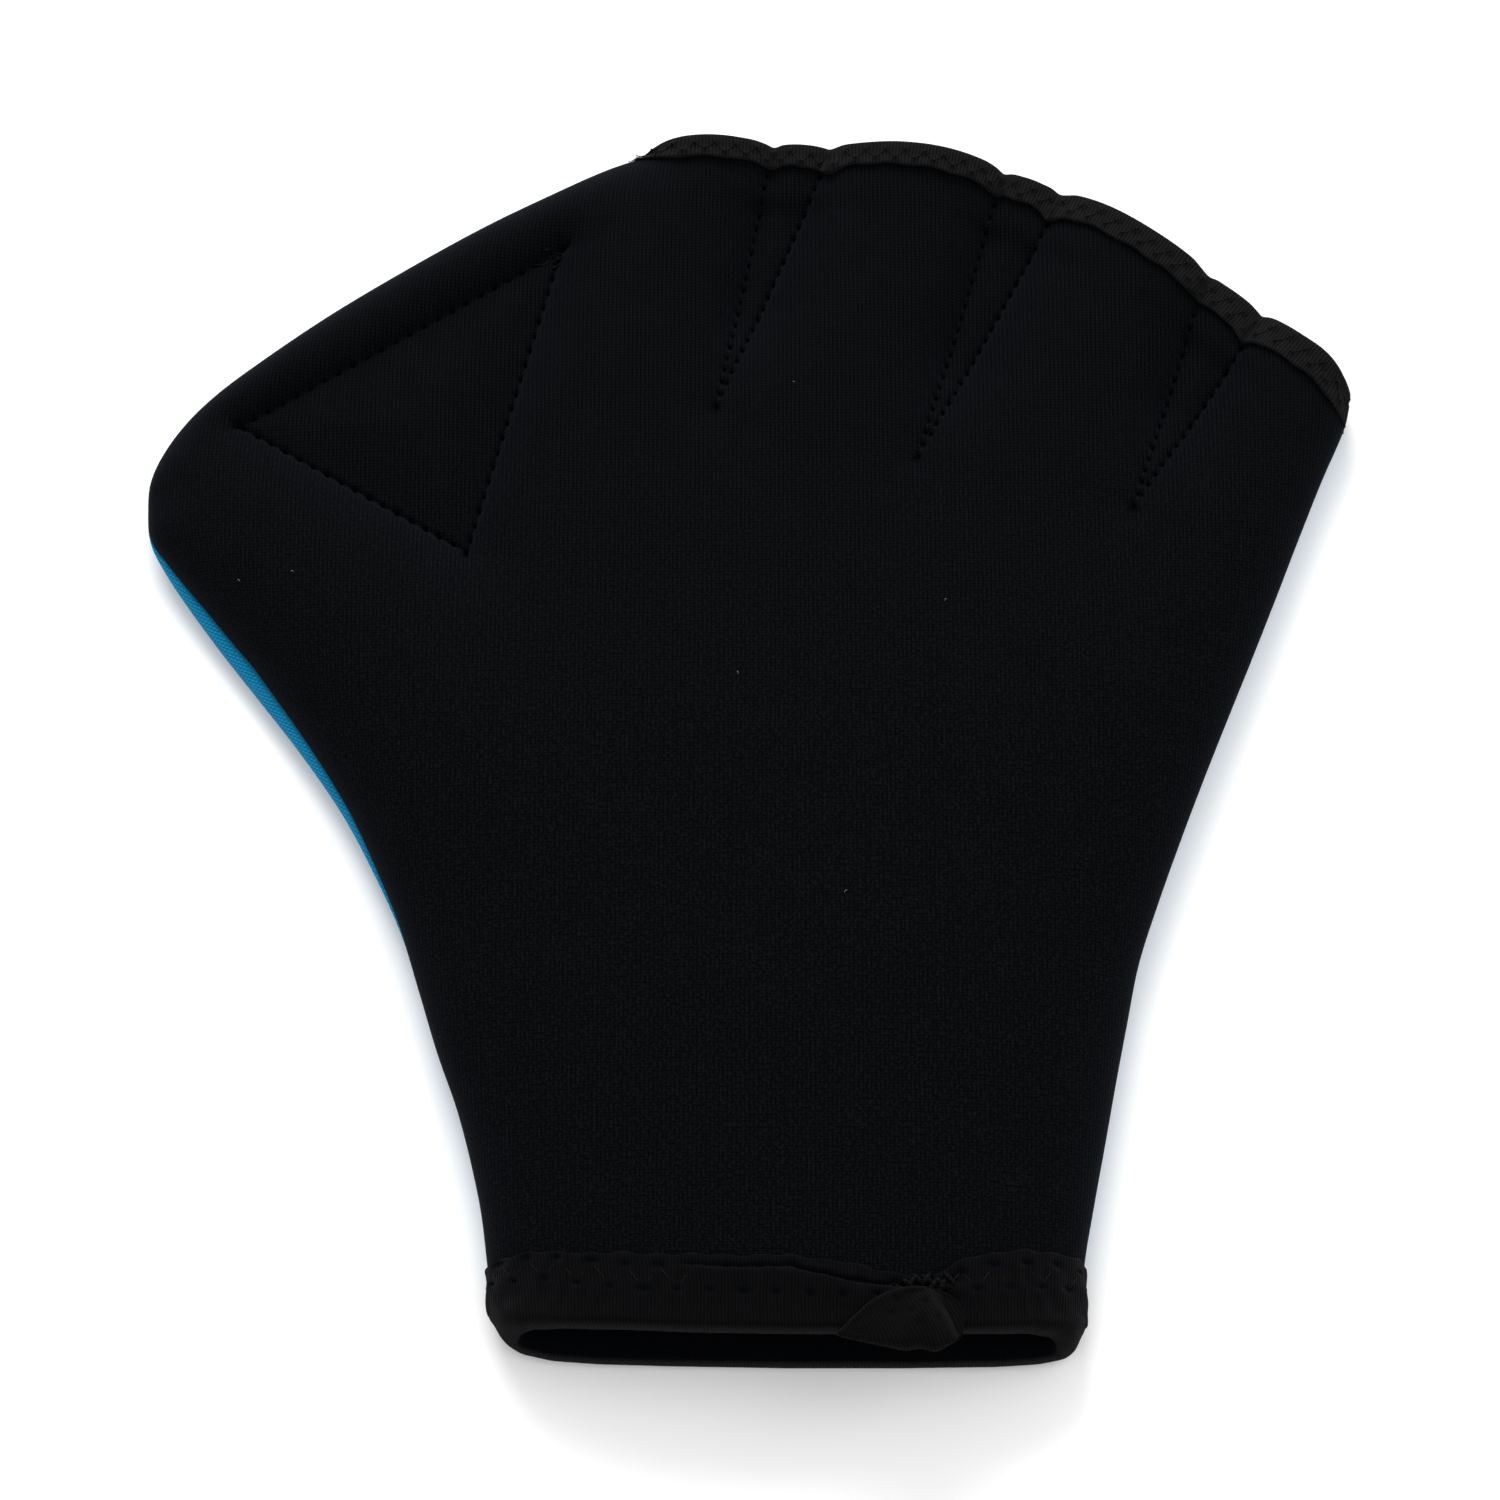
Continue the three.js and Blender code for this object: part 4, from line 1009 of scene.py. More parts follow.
def wristOffset(turn, up, height):
    turn, up, height = np.broadcast_arrays(turn, up, height)
    h = 0.03
    above = np.maximum(up, 0.1)
    along = wristPoint(turn + h, above) - wristPoint(turn - h, above)
    across = wristPoint(turn, above + h) - wristPoint(turn, above - h)
    point = wristPoint(turn, up)
    normal = np.cross(along, across)
    normal /= np.linalg.norm(normal, axis=-1)[..., None]
    onSeam = np.abs(np.sin(turn)) < 1e-6
    nearSeam = (1 - ease(np.abs(np.sin(turn)) / 0.5)) * ease((up - 5) / 6)
    height = np.where(height > 0, height * mix(1, wristTape["seamLift"], nearSeam), height)
    point[..., 2] = np.where(onSeam, glove["seamHeight"], point[..., 2])
    normal[..., 2] = np.where(onSeam, 0, normal[..., 2])
    place = point + normal * height[..., None]
    left = lookUp(thumbAcross, point[..., 1])
    right = lookUp(littleAcross, point[..., 1])
    # Inside the fold the leg stays clear of itself where the sides roll tightly
    fromSide = np.minimum(point[..., 0] - left, right - point[..., 0])
    inset = -height + glove["legInset"] * fromSide
    under = height < 0
    held = np.minimum(np.maximum(place[..., 0], left + inset), right - inset)
    place[..., 0] = np.where(under, held, place[..., 0])
    place[..., 1] = np.where(under, point[..., 1], place[..., 1])
    room = glove["seamGap"] / 2 + glove["legRoom"] * np.minimum(fromSide, glove["seamHeight"])
    high = np.maximum(place[..., 2], glove["seamHeight"] + room)
    low = np.minimum(place[..., 2], glove["seamHeight"] - room)
    kept = np.where(np.sin(turn) > 0, high, low)
    place[..., 2] = np.where(under & ~onSeam, kept, place[..., 2])
    wide = right - left
    place[..., 1] += wristY((place[..., 0] - left) / wide) - wristY((point[..., 0] - left) / wide)
    return place


# Wrist binding tape, its zigzag stitching and the place where its ends overlap. The lines give the
# distance up from the rim at each share of the wrist width, over the palm.
wristTape = {
    "ringStep": 0.4,
    "rowStep": 0.4,
    "keyRings": 120,
    "edge": [
        (0, 13.0), (0.05, 12.8), (0.13, 12.1), (0.20, 11.5), (0.36, 11.1), (0.50, 11.0), (0.55, 10.6),
        (0.59, 10.0), (0.655, 8.5), (0.71, 7.8), (0.74, 7.5), (0.765, 8.8), (0.79, 10.6), (0.82, 11.6),
        (0.88, 12.5), (0.955, 13.2), (1, 13.0),
    ],
    "zigzagHigh": [
        (0, 11.9), (0.065, 11.7), (0.115, 11.2), (0.16, 10.3), (0.21, 9.6), (0.26, 9.3), (0.50, 9.0),
        (0.56, 7.9), (0.615, 6.6), (0.71, 6.3), (0.76, 7.3), (0.80, 9.0), (0.845, 9.6), (0.88, 10.1),
        (0.925, 10.6), (1, 10.9),
    ],
    "zigzagLow": [
        (0, 7.9), (0.05, 7.7), (0.095, 7.2), (0.14, 6.3), (0.19, 5.6), (0.24, 5.1), (0.50, 4.9),
        (0.60, 4.4), (0.70, 4.6), (0.775, 5.4), (0.81, 5.7), (0.905, 6.4), (1, 7.0),
    ],
    "slit": [(0.28, 9.6), (0.36, 9.1), (0.51, 9.0), (0.56, 7.9), (0.615, 6.5), (0.66, 6.1), (0.735, 5.6)],
    "zigzagPitch": 4.9,
    "pullDepth": 0.4,
    "pullReach": 0.55,
    "puffHeight": 0.2,
    "ripple": 0.14,
    "gatherAt": (0.735, 5.9),
    "layerRise": 0.5,  # the lower layer stands up below the slit
    "slitDepth": 0.8,
    "slitReach": 0.3,
    "seamLift": 0.4,  # the upper edge lies flatter where it turns round a side seam
}


def shareOf(turn):
    return (1 - np.cos(turn)) / 2


def turnsRound():
    turns = np.linspace(0, 2 * math.pi, 4001)
    line = wristPoint(turns, np.full(turns.shape, 3.0))
    line[..., 2] = np.where(np.abs(np.sin(turns)) < 1e-6, glove["seamHeight"], line[..., 2])
    gone = np.concatenate([[0], np.cumsum(np.linalg.norm(np.diff(line, axis=0), axis=1))])
    return turns, gone


wristTurns, wristGone = turnsRound()
girth = wristGone[-1]


# A line of the tape all the way round: as given over the palm, level under the back
def tapeLine(table, turn, underside):
    over = lookUp(table, shareOf(turn))
    under = mix(underside, over, bump(np.sin(turn), 0.3))
    return np.where(np.sin(turn) > 0, over, under)


def zigzagCorners():
    count = 2 * round(girth / wristTape["zigzagPitch"])
    at = (np.arange(count) + 0.35) * girth / count
    turn = np.interp(at, wristGone, wristTurns)
    high = tapeLine(wristTape["zigzagHigh"], turn, 9.6)
    low = tapeLine(wristTape["zigzagLow"], turn, 5.6)
    up = np.where(np.arange(count) % 2, low, high)
    return at, up + rng.uniform(-0.2, 0.2, count)


zigzagAt, zigzagUp = zigzagCorners()


# Relief of the tape's outer face: stitch pulls, puffs between them, ripples, the slit and the gather, with painted
# shade in the stitch pulls, the slit and the pucker valleys
def wristRelief(at, turn, up):
    share = shareOf(turn)
    over = np.sin(turn) > 0
    rise = np.zeros(at.shape)
    hole = np.zeros(at.shape)
    sizes = rng.uniform(0.65, 1.2, len(zigzagAt))
    for a, u, size, long in zip(zigzagAt, zigzagUp, sizes, rng.uniform(0.45, 0.85, len(zigzagAt))):
        far = np.hypot((at - a) * long, up - u)
        near = far < 4
        if near.any():
            dot = bump(far[near], wristTape["pullReach"] * size)
            puff = bump(far[near], wristTape["pullReach"] * 3)
            rise[near] += wristTape["puffHeight"] * puff - (wristTape["pullDepth"] + wristTape["puffHeight"]) * dot
            hole[near] = np.maximum(hole[near], dot)
    onFace = ease(up / 2)
    ripple = np.sin(at * 1.6 + np.sin(at * 0.37) * 2) * np.sin(up * 0.55 + at * 0.11)
    rise += wristTape["ripple"] * ripple
    slit = lookUp(wristTape["slit"], share)
    inSlit = ease((share - 0.29) / 0.10) * ease((0.76 - share) / 0.03) * over
    below = ease((slit - up) / 0.3 + 0.5)
    fadeDown = ease((up - slit + 5) / 4)
    rise += inSlit * wristTape["layerRise"] * below * fadeDown
    cut = bump(up - slit - 0.25, wristTape["slitReach"]) * inSlit
    rise -= wristTape["slitDepth"] * cut
    # Painted shade in the slit
    hole = np.maximum(hole, cut)
    # Puckers run out from the gather
    gx = (share - wristTape["gatherAt"][0]) * (wristRight - wristLeft)
    gy = up - wristTape["gatherAt"][1]
    away = np.hypot(gx, gy)
    fan = np.cos(7 * np.arctan2(gy, gx) + 0.6) * bump(away - 3.4, 2.8) * over
    rise += 0.34 * fan
    # Painted shade in the valleys of the puckers
    hole = np.maximum(hole, 0.5 * np.clip(-fan, 0, 1))
    rise -= 0.5 * bump(away, 1.1) * over
    return rise * onFace, hole * onFace


# Base surface of the tape in dense rings, before its relief
def wristSkin():
    depth = glove["sheetWall"] + glove["wristSlack"]
    rows, way, outer = tapeSection(
        glove["wristTape"], glove["wristTapeInside"], depth, wristTape["rowStep"],
    )
    keyTurns = 2 * math.pi * np.arange(wristTape["keyRings"]) / wristTape["keyRings"]
    widths = tapeLine(wristTape["edge"], keyTurns, glove["wristTape"]) / glove["wristTape"]
    onLeg = (rows[:, 1] > 0) & (rows[:, 0] > 0)
    ups = rows[:, 0] * np.where(onLeg, widths[:, None], 1)
    grid = wristOffset(keyTurns[:, None], ups, rows[:, 1])
    soften = bump(np.sin(keyTurns), 0.35)[:, None, None]
    for _ in range(4):
        mean = (np.roll(grid, 1, 0) + 2 * grid + np.roll(grid, -1, 0)) / 4
        grid = mix(grid, mean, soften)
    count = round(girth / wristTape["ringStep"])
    at = np.arange(count) * girth / count
    turn = np.interp(at, wristGone, wristTurns)
    grid = throughRings(grid, turn / (2 * math.pi) * wristTape["keyRings"], True)
    widths = tapeLine(wristTape["edge"], turn, glove["wristTape"]) / glove["wristTape"]
    ups = rows[:, 0] * np.where(onLeg, widths[:, None], 1)
    return {
        "rows": rows, "way": way, "outer": outer, "at": at, "turn": turn, "ups": ups, "grid": grid,
        "legRows": int(onLeg[:outer].sum()) + 1, "out": outwardOf(grid, True, False),
    }


skin = wristSkin()


def makeWristTape():
    rows, outer = skin["rows"], skin["outer"]
    ats = np.broadcast_to(skin["at"][:, None], skin["ups"].shape)
    turns = np.broadcast_to(skin["turn"][:, None], skin["ups"].shape)
    isFace = np.arange(len(rows)) < skin["legRows"]
    rise, hole = wristRelief(ats, turns, skin["ups"])
    points = skin["grid"] + skin["out"] * np.where(isFace, rise, 0)[..., None]
    # The edge waves a little, and the fold bulges between the stitches
    wave = 0.16 * np.sin(ats * 1.28) + 0.14 * np.sin(ats * 0.53 + 1)
    points[..., 1] += wave * np.where(isFace, (rows[:, 0] / glove["wristTape"]) ** 2, 0)
    points[..., 2] = np.maximum(points[..., 2], 0)
    # Painted shade on the lower fold and the leg inside the glove's mouth
    paintedMouthShade = np.clip((np.arange(len(rows)) - outer * 0.55) / (outer * 0.12), 0, 1) * 0.7
    paintedShade = np.where(isFace, hole, np.broadcast_to(paintedMouthShade, hole.shape))
    weave = np.stack([ats, np.broadcast_to(skin["way"], ats.shape), 0 * ats], axis=-1).reshape(-1, 3)
    faces = ringFaces(len(points), len(rows), True, False)
    return makePiece(
        "wrist_tape", points.reshape(-1, 3), faces, [wristTapeKnit], ["wrist_binding"],
        None, weave, paintedShade.ravel(),
    )


# Place on the tape's outer face: the way round, up from the rim, and height over the face
def wristPlace(at, up, height):
    ring = np.asarray(at) / girth * len(skin["at"])
    turn = np.interp(np.mod(at, girth), wristGone, wristTurns)
    width = tapeLine(wristTape["edge"], turn, glove["wristTape"])
    row = (1 - np.asarray(up) / width) * (skin["legRows"] - 1)
    k = np.floor(ring).astype(int)
    m = np.clip(np.floor(row).astype(int), 0, len(skin["rows"]) - 2)
    s, t = (ring - k)[..., None], (row - m)[..., None]
    count = len(skin["at"])

    def sample(field):
        near = mix(field[k % count, m], field[(k + 1) % count, m], s)
        return mix(near, mix(field[k % count, m + 1], field[(k + 1) % count, m + 1], s), t)

    place = sample(skin["grid"]) + sample(skin["out"]) * np.asarray(height)[..., None]
    place[..., 2] = np.maximum(place[..., 2], thread["radius"] + 0.02)
    return place


# Folded end of the tape, lapped over the tape and gathered under the stitching
lap = {
    "step": 0.36,
    "wall": 0.9,
    "crown": 0.8,
    "foldHeight": 0.5,
    "folds": 4,
    "sink": 2.4,  # its far side slips under the tape
    "dimples": [(-4.9, -2.4), (-2.8, -4.4), (-0.9, -3.0), (0.9, -5.7), (-5.6, -4.7), (-1.6, -6.6)],
    "gather": (0.735, 5.6),  # share of the wrist width, up from the rim
}


def makeLap():
    wide = wristRight - wristLeft
    ring = np.array([(share * wide, rise * glove["wristTape"]) for share, rise in lapOutline])
    closed = np.vstack([ring[-2:], ring, ring[:2]])
    smooth = smoothLine(closed, 0.32)
    gone = lengthsOf(smooth)
    start = gone[np.hypot(*(smooth[:len(smooth) // 3] - ring[0]).T).argmin()]
    late = smooth[len(smooth) // 2:]
    stop = gone[len(smooth) // 2 + np.hypot(*(late - ring[0]).T).argmin()]
    edge = smooth[(gone >= start) & (gone < stop - 0.1)]
    lowX, lowY = edge.min(0)
    highX, highY = edge.max(0)
    field = np.array([
        (x + (i % 2) * lap["step"] / 2, y)
        for i, y in enumerate(np.arange(lowY, highY, lap["step"] * math.sqrt(0.75)))
        for x in np.arange(lowX, highX, lap["step"])
    ])
    field = field[insideRing(edge, *field.T)]
    loop = np.vstack([edge, edge[:1]])
    field = field[nearest(loop, *field.T)["distance"] > 0.22]
    flat, faces = fillPlan(edge, field)
    fromEdge = nearest(loop, *flat.T)["distance"]
    turn = np.arccos(1 - 2 * flat[:, 0] / wide)
    gx = flat[:, 0] - lap["gather"][0] * wide
    gy = flat[:, 1] - lap["gather"][1]
    away = np.hypot(gx, gy)
    angle = np.arctan2(gx, -gy)
    dome = np.sqrt(1 - (1 - np.clip(fromEdge / 3.5, 0, 1)) ** 2)
    fold = np.cos(lap["folds"] * (angle + 0.25) + 0.35 * np.sin(away * 0.7))
    crumple = lap["foldHeight"] * fold * ease(away / 3.0) * ease(fromEdge / 1.2)
    lump = 0.35 * bump(np.hypot(gx + 1.0, gy + 5.5), 2.2) + 0.3 * bump(np.hypot(gx + 6.0, gy + 5.5), 2.2)
    dimple = sum(bump(np.hypot(gx - dx, gy - dy), 0.55) for dx, dy in lap["dimples"])
    sunk = lap["sink"] * ease((gx - 1.6 + 0.45 * flat[:, 1]) / 3.6)
    top = lap["crown"] * dome + crumple + lump - 0.3 * dimple - sunk
    crease = np.clip(-fold, 0, 1) * ease(away / 2) * ease(fromEdge / 0.8)
    below = tapeLift + glove["tapeGap"]
    soften = np.sqrt(np.clip(fromEdge / 0.45, 0, 1))
    over = wristOffset(turn, flat[:, 1], below + lap["wall"] * (0.5 + 0.5 * soften) + top)
    under = wristOffset(turn, flat[:, 1], below + lap["wall"] * 0.35 * (1 - soften))
    count = len(flat)
    size = len(edge)
    made = [list(face) for face in faces] + [[a + count, c + count, b + count] for a, b, c in faces]
    made += [[(i + 1) % size, i, i + count, (i + 1) % size + count] for i in range(size)]
    weave = np.column_stack([flat[:, 0] * 0.9 + flat[:, 1] * 0.45, flat[:, 1], 0 * away])
    # Painted shade in the folds' creases and the dimples
    paintedShade = np.concatenate([np.minimum(0.25 * crease + 0.5 * dimple, 1), np.zeros(count)])
    return makePiece(
        "wrist_tape_end", np.vstack([over, under]), made, [tapeEndKnit],
        ["wrist_binding_lap"], None, np.vstack([weave, weave]), paintedShade,
    )


# Fingertip tapes: one folded over the edge of each panel, from side seam to side seam
tipTape = {
    "ringStep": 0.4,
    "rowStep": 0.32,
    "keyStep": 4,
    "width": [(0, 2.9), (0.3, 3.1), (0.6, 3.6), (0.85, 4.1), (1, 4.3)],  # along the edge, share of it
    "zigzagPitch": 3.1,
    "zigzagHigh": 0.72,  # shares of the width
    "zigzagLow": 0.2,
    "pullDepth": 0.42,
    "pullReach": 0.5,
    "puffHeight": 0.16,
    "webDip": 0.8,  # the seams of the webs draw the tape down
    "webNotch": 0.5,
    "webCrease": 0.45,
    "scallop": 0.16,
    "endReach": (6.0, 5.0),  # over these lengths the two ends grow thin and lie flat
    "endFlat": (1.0, 0.8),
    "endLift": 0.35,
}
fineTip = smoothLine(toPlan(tipEdge), tipTape["ringStep"])
tipGone = lengthsOf(fineTip)


def unit(v):
    return v / np.linalg.norm(v, axis=-1)[..., None]


def tipSquareAt(place):
    last = len(fineTip) - 1
    along = unit(fineTip[np.minimum(place + 6, last)] - fineTip[np.maximum(place - 6, 0)])
    return np.stack([along[..., 1], -along[..., 0]], axis=-1)


def tipInwardAt(place):
    thumbEnd = unit(thumbLine[-3] - thumbLine[-1])
    littleEnd = unit(littleLine[-3] - littleLine[-1])
    fromStart = ease(tipGone[place] / glove["tipEndBlend"])[..., None]
    fromEnd = ease((tipGone[-1] - tipGone[place]) / glove["tipEndBlend"])[..., None]
    way = thumbEnd * (1 - fromStart) + littleEnd * (1 - fromEnd)
    return unit(way + tipSquareAt(place) * fromStart * fromEnd)


# Moves plan points away from the side seams until they are clear of them by a distance
def keepOff(x, y, clear):
    for line, side in ((thumbLine, 1), (littleLine, -1)):
        at = nearest(line, x, y)
        short = np.maximum(np.minimum(clear - at["distance"], clear), 0)
        x = x + side * at["tangent"][1] * short
        y = y - side * at["tangent"][0] * short
    return x, y


def tipOffset(place, up, height, over):
    place, up, height = np.broadcast_arrays(place, up, height)
    flat = np.zeros(place.shape)
    ends = (tipGone[place], tipGone[-1] - tipGone[place])
    for gone, reach, share in zip(ends, tipTape["endReach"], tipTape["endFlat"]):
        flat = np.maximum(flat, share * (1 - ease(gone / reach)))
    height = np.where(height > 0, height * mix(1, tipTape["endLift"], flat), height)
    inward = tipInwardAt(place)
    above = np.maximum(up, 0)
    edge = fineTip[place] + inward * above[..., None]
    x, y = keepOff(edge[..., 0], edge[..., 1], np.full(up.shape, glove["tapeGap"]))
    level = palmTop if over else backBottom
    toSide = np.minimum(nearest(thumbLine, x, y)["distance"], nearest(littleLine, x, y)["distance"])
    h = np.clip(0.4 * toSide, 0.02, 0.8)
    normal = np.stack([
        (level(x - h, y) - level(x + h, y)) / (2 * h),
        (level(x, y - h) - level(x, y + h)) / (2 * h),
        np.ones(x.shape),
    ], axis=-1)
    normal[..., :2] *= (1 - flat)[..., None]
    normal = unit(normal) * (1 if over else -1)
    out = tipSquareAt(place) * ((up - above) * mix(1, tipTape["endLift"], flat))[..., None]
    point = np.stack([x + out[..., 0], y + out[..., 1], level(x, y)], axis=-1)
    point += normal * height[..., None]
    # Inside the fold the leg keeps off the side seams
    under = height < 0
    kx, ky = keepOff(point[..., 0], point[..., 1], -height + glove["legInset"] * toSide)
    rim = nearest(tipLine, kx, ky)
    square = np.stack([rim["tangent"][1], -rim["tangent"][0]], axis=-1)
    away = np.stack([kx - rim["point"][0], ky - rim["point"][1]], axis=-1)
    depth = (square * away).sum(-1)
    slide = (up - depth) / np.maximum((square * inward).sum(-1), 0.4)
    point[..., 0] = np.where(under, kx + inward[..., 0] * slide, point[..., 0])
    point[..., 1] = np.where(under, ky + inward[..., 1] * slide, point[..., 1])
    clear = 0.05 * (tapeLift - height)
    if over:
        point[..., 2] = np.maximum(point[..., 2], palmSeam + clear)
    else:
        point[..., 2] = np.clip(point[..., 2], 0, backSeam - clear)
    return point


# Where the web seams reach the fingertip edge: all of them, and the far one of each web
webEnds = np.array([
    nearest(fineTip, *mix(ring[0], ring[top], 0.87))["gone"] for ring in webRings for top in (1, 2)
])


def tipWidth(at):
    width = lookUp(tipTape["width"], at / tipGone[-1])
    dip = sum(bump(at - end, 1.9) for end in webEnds[1::2]) * tipTape["webDip"]
    return width + dip + tipTape["scallop"] * np.sin(at * 1.05 + np.sin(at * 0.2))


def tipZigzag():
    count = 2 * round(tipGone[-1] / tipTape["zigzagPitch"])
    at = (np.arange(count) + 0.5) * tipGone[-1] / count
    share = np.where(np.arange(count) % 2, tipTape["zigzagLow"], tipTape["zigzagHigh"])
    return at, tipWidth(at) * share + rng.uniform(-0.15, 0.15, count)


tipZigzagAt, tipZigzagUp = tipZigzag()


# Relief of a fingertip tape's face, with painted shade in its stitch pulls and in the creases at the web seams
def tipRelief(at, up):
    rise = np.zeros(at.shape)
    hole = np.zeros(at.shape)
    for a, u, size in zip(tipZigzagAt, tipZigzagUp, rng.uniform(0.75, 1.3, len(tipZigzagAt))):
        far = np.hypot(at - a, up - u)
        near = far < 3
        dot = bump(far[near], tipTape["pullReach"] * size)
        puff = bump(far[near], tipTape["pullReach"] * 2.6)
        rise[near] += tipTape["puffHeight"] * puff - (tipTape["pullDepth"] + tipTape["puffHeight"]) * dot
        hole[near] = np.maximum(hole[near], dot * 0.8)
    for end in webEnds:
        crease = bump(at - end, 0.8)
        rise -= tipTape["webCrease"] * crease
        hole = np.maximum(hole, crease * 0.55)
    onFace = ease((up + 0.6) / 1.2)
    return rise * onFace, hole * onFace


def tipSkin(over):
    depth = glove["rimWall"] + glove["tipSlack"]
    rows, way, outer = tapeSection(glove["tipTape"], glove["tipTapeInside"], depth, tipTape["rowStep"])
    last = len(fineTip) - 1
    keys = np.round(np.linspace(0, last, round(last / tipTape["keyStep"]) + 1)).astype(int)
    onLeg = (rows[:, 1] > 0) & (rows[:, 0] > 0)

    def upsAt(gone):
        ups = rows[:, 0] * np.where(onLeg, (tipWidth(gone) / glove["tipTape"])[:, None], 1)
        notch = sum(bump(gone - end, 1.4) for end in webEnds) * tipTape["webNotch"]
        return ups, ups + notch[:, None]

    grid = tipOffset(keys[:, None], upsAt(tipGone[keys])[1], rows[:, 1], over)
    mean = grid.copy()
    mean[1:-1] = (grid[:-2] + 2 * grid[1:-1] + grid[2:]) / 4
    nearEnd = bump(np.minimum(np.arange(len(keys)), np.arange(len(keys))[::-1]), 5)[:, None, None]
    grid = mix(grid, mean, nearEnd)
    place = np.interp(np.arange(last + 1), keys, np.arange(len(keys)))
    grid = throughRings(grid, place, False)
    return {
        "rows": rows, "way": way, "outer": outer, "ups": upsAt(tipGone)[0], "grid": grid,
        "legRows": int(onLeg[:outer].sum()) + 1, "out": outwardOf(grid, False, not over),
    }


tipSkins = {True: tipSkin(True), False: tipSkin(False)}


def makeTipTape(name, node, over):
    made = tipSkins[over]
    rows, outer = made["rows"], made["outer"]
    ats = np.broadcast_to(tipGone[:, None], made["ups"].shape)
    isFace = np.arange(len(rows)) < made["legRows"] + 2
    rise, hole = tipRelief(ats, made["ups"])
    fade = ease(np.minimum(tipGone, tipGone[::-1]) / 1.5)[:, None]
    points = made["grid"] + made["out"] * (np.where(isFace, rise, 0) * fade)[..., None]
    points[..., 2] = np.maximum(points[..., 2], 0)
    size = len(rows)
    faces = ringFaces(len(points), size, False, not over)
    caps = [list(range(size)), [k + (len(points) - 1) * size for k in range(size)][::-1]]
    faces += [cap if over else cap[::-1] for cap in caps]
    weave = np.stack([ats, np.broadcast_to(made["way"], ats.shape), 0 * ats], axis=-1).reshape(-1, 3)
    return makePiece(
        name, points.reshape(-1, 3), faces, [tipTapeKnit], [node], None, weave,
        np.where(isFace, hole, 0).ravel(),
    )


def tipPlace(over):
    def placeOf(at, up, height):
        made = tipSkins[over]
        ring = np.interp(at, tipGone, np.arange(len(tipGone)))
        k = np.clip(np.floor(ring).astype(int), 0, len(tipGone) - 2)
        row = (1 - up / tipWidth(at)) * (made["legRows"] - 1)
        m = np.clip(np.floor(row).astype(int), 0, len(made["rows"]) - 2)
        s, t = (ring - k)[..., None], (row - m)[..., None]

        def sample(field):
            return mix(mix(field[k, m], field[k + 1, m], s), mix(field[k, m + 1], field[k + 1, m + 1], s), t)

        place = sample(made["grid"]) + sample(made["out"]) * height[..., None]
        place[..., 2] = np.maximum(place[..., 2], thread["radius"] + 0.02)
        return place

    return placeOf


# Sewing thread: one short tube for each stitch, all joined in one mesh
thread = {
    "radius": 0.16,
    "tapeRadius": 0.13,
    "sides": 8,
    "dive": 0.55,  # how deep a stitch goes into its needle hole
    "stand": 0.0,  # how far its middle stands over the cloth
    "onTape": 0.06,
}


def threadTubes(paths, radius):
    sides = thread["sides"]
    points, faces, weave = [], [], []
    turns = np.arange(sides) * 2 * math.pi / sides
    for path in paths:
        path = np.asarray(path)
        way = unit(np.gradient(path, axis=0))
        side = np.cross(way, (0.0, 0.0, 1.0))
        side /= np.maximum(np.linalg.norm(side, axis=1), 1e-6)[:, None]
        lift = np.cross(side, way)
        base = len(points) * sides
        gone = np.concatenate([[0], np.cumsum(np.linalg.norm(np.diff(path, axis=0), axis=1))])
        for k, (p, s, u) in enumerate(zip(path, side, lift)):
            points.append(p + radius * (np.cos(turns)[:, None] * s + np.sin(turns)[:, None] * u))
            weave.append(np.column_stack([np.full(sides, gone[k]), turns, 0 * turns]))
        for k in range(len(path) - 1):
            a = base + k * sides
            for m in range(sides):
                n = (m + 1) % sides
                faces.append([a + m, a + n, a + sides + n, a + sides + m])
        last = base + (len(path) - 1) * sides
        faces.append([base + m for m in range(sides)][::-1])
        faces.append([last + m for m in range(sides)])
    return np.vstack(points), faces, np.vstack(weave)


bend = np.sin(np.linspace(0, math.pi, 7)) ** 0.7
steps = np.linspace(0, 1, 7)


# Straight stitches along the seams of one face
def seamStitches(over):
    paths = []
    for row in stitchLines:
        gone = lengthsOf(row["line"])
        tip = nearest(tipLine, *row["line"].T)["distance"]
        holes = np.arange(0, gone[-1], row["pitch"])
        for a, b in zip(holes, holes[1:]):
            at = mix(a + 0.22, b - 0.22, steps)
            x = np.interp(at, gone, row["line"][:, 0]) + rng.uniform(-0.05, 0.05)
            y = np.interp(at, gone, row["line"][:, 1])
            if np.interp(b, gone, tip) < glove["tipTape"] or not insideRing(outline, x, y).all():
                continue
            lift = (thread["stand"] + thread["dive"]) * bend - thread["dive"] - seams["grooveDepth"]
            if over:
                px, py = palmPlace(x, y)
                paths.append(np.column_stack([px, py, palmTop(x, y) + lift]))
            else:
                z = np.maximum(backBottom(x, y) - lift, thread["radius"] + 0.02)
                paths.append(np.column_stack([x, y, z]))
    return paths


def zigzagStitches(at, up, placeOf):
    height = thread["onTape"] - (1 - bend) * thread["dive"]
    return [
        placeOf(mix(at[k], at[k + 1], steps), mix(up[k], up[k + 1], steps), height)
        for k in range(len(at) - 1)
    ]


# Bar of overlapping stitches that holds a corner of the sewn triangle
def tackStitches():
    paths = []
    corner = thumbRing[1]
    for _ in range(9):
        middle = corner + rng.uniform(-1, 1, 2) * (2.0, 1.3) + (-2.2, -1.6)
        heading = rng.uniform(-0.6, 0.9)
        half = rng.uniform(0.7, 1.3)
        x = middle[0] + (steps - 0.5) * 2 * half * math.cos(heading)
        y = middle[1] + (steps - 0.5) * 2 * half * math.sin(heading)
        paths.append(np.column_stack([*palmPlace(x, y), palmTop(x, y) + 0.28 * bend - 0.2]))
    return paths


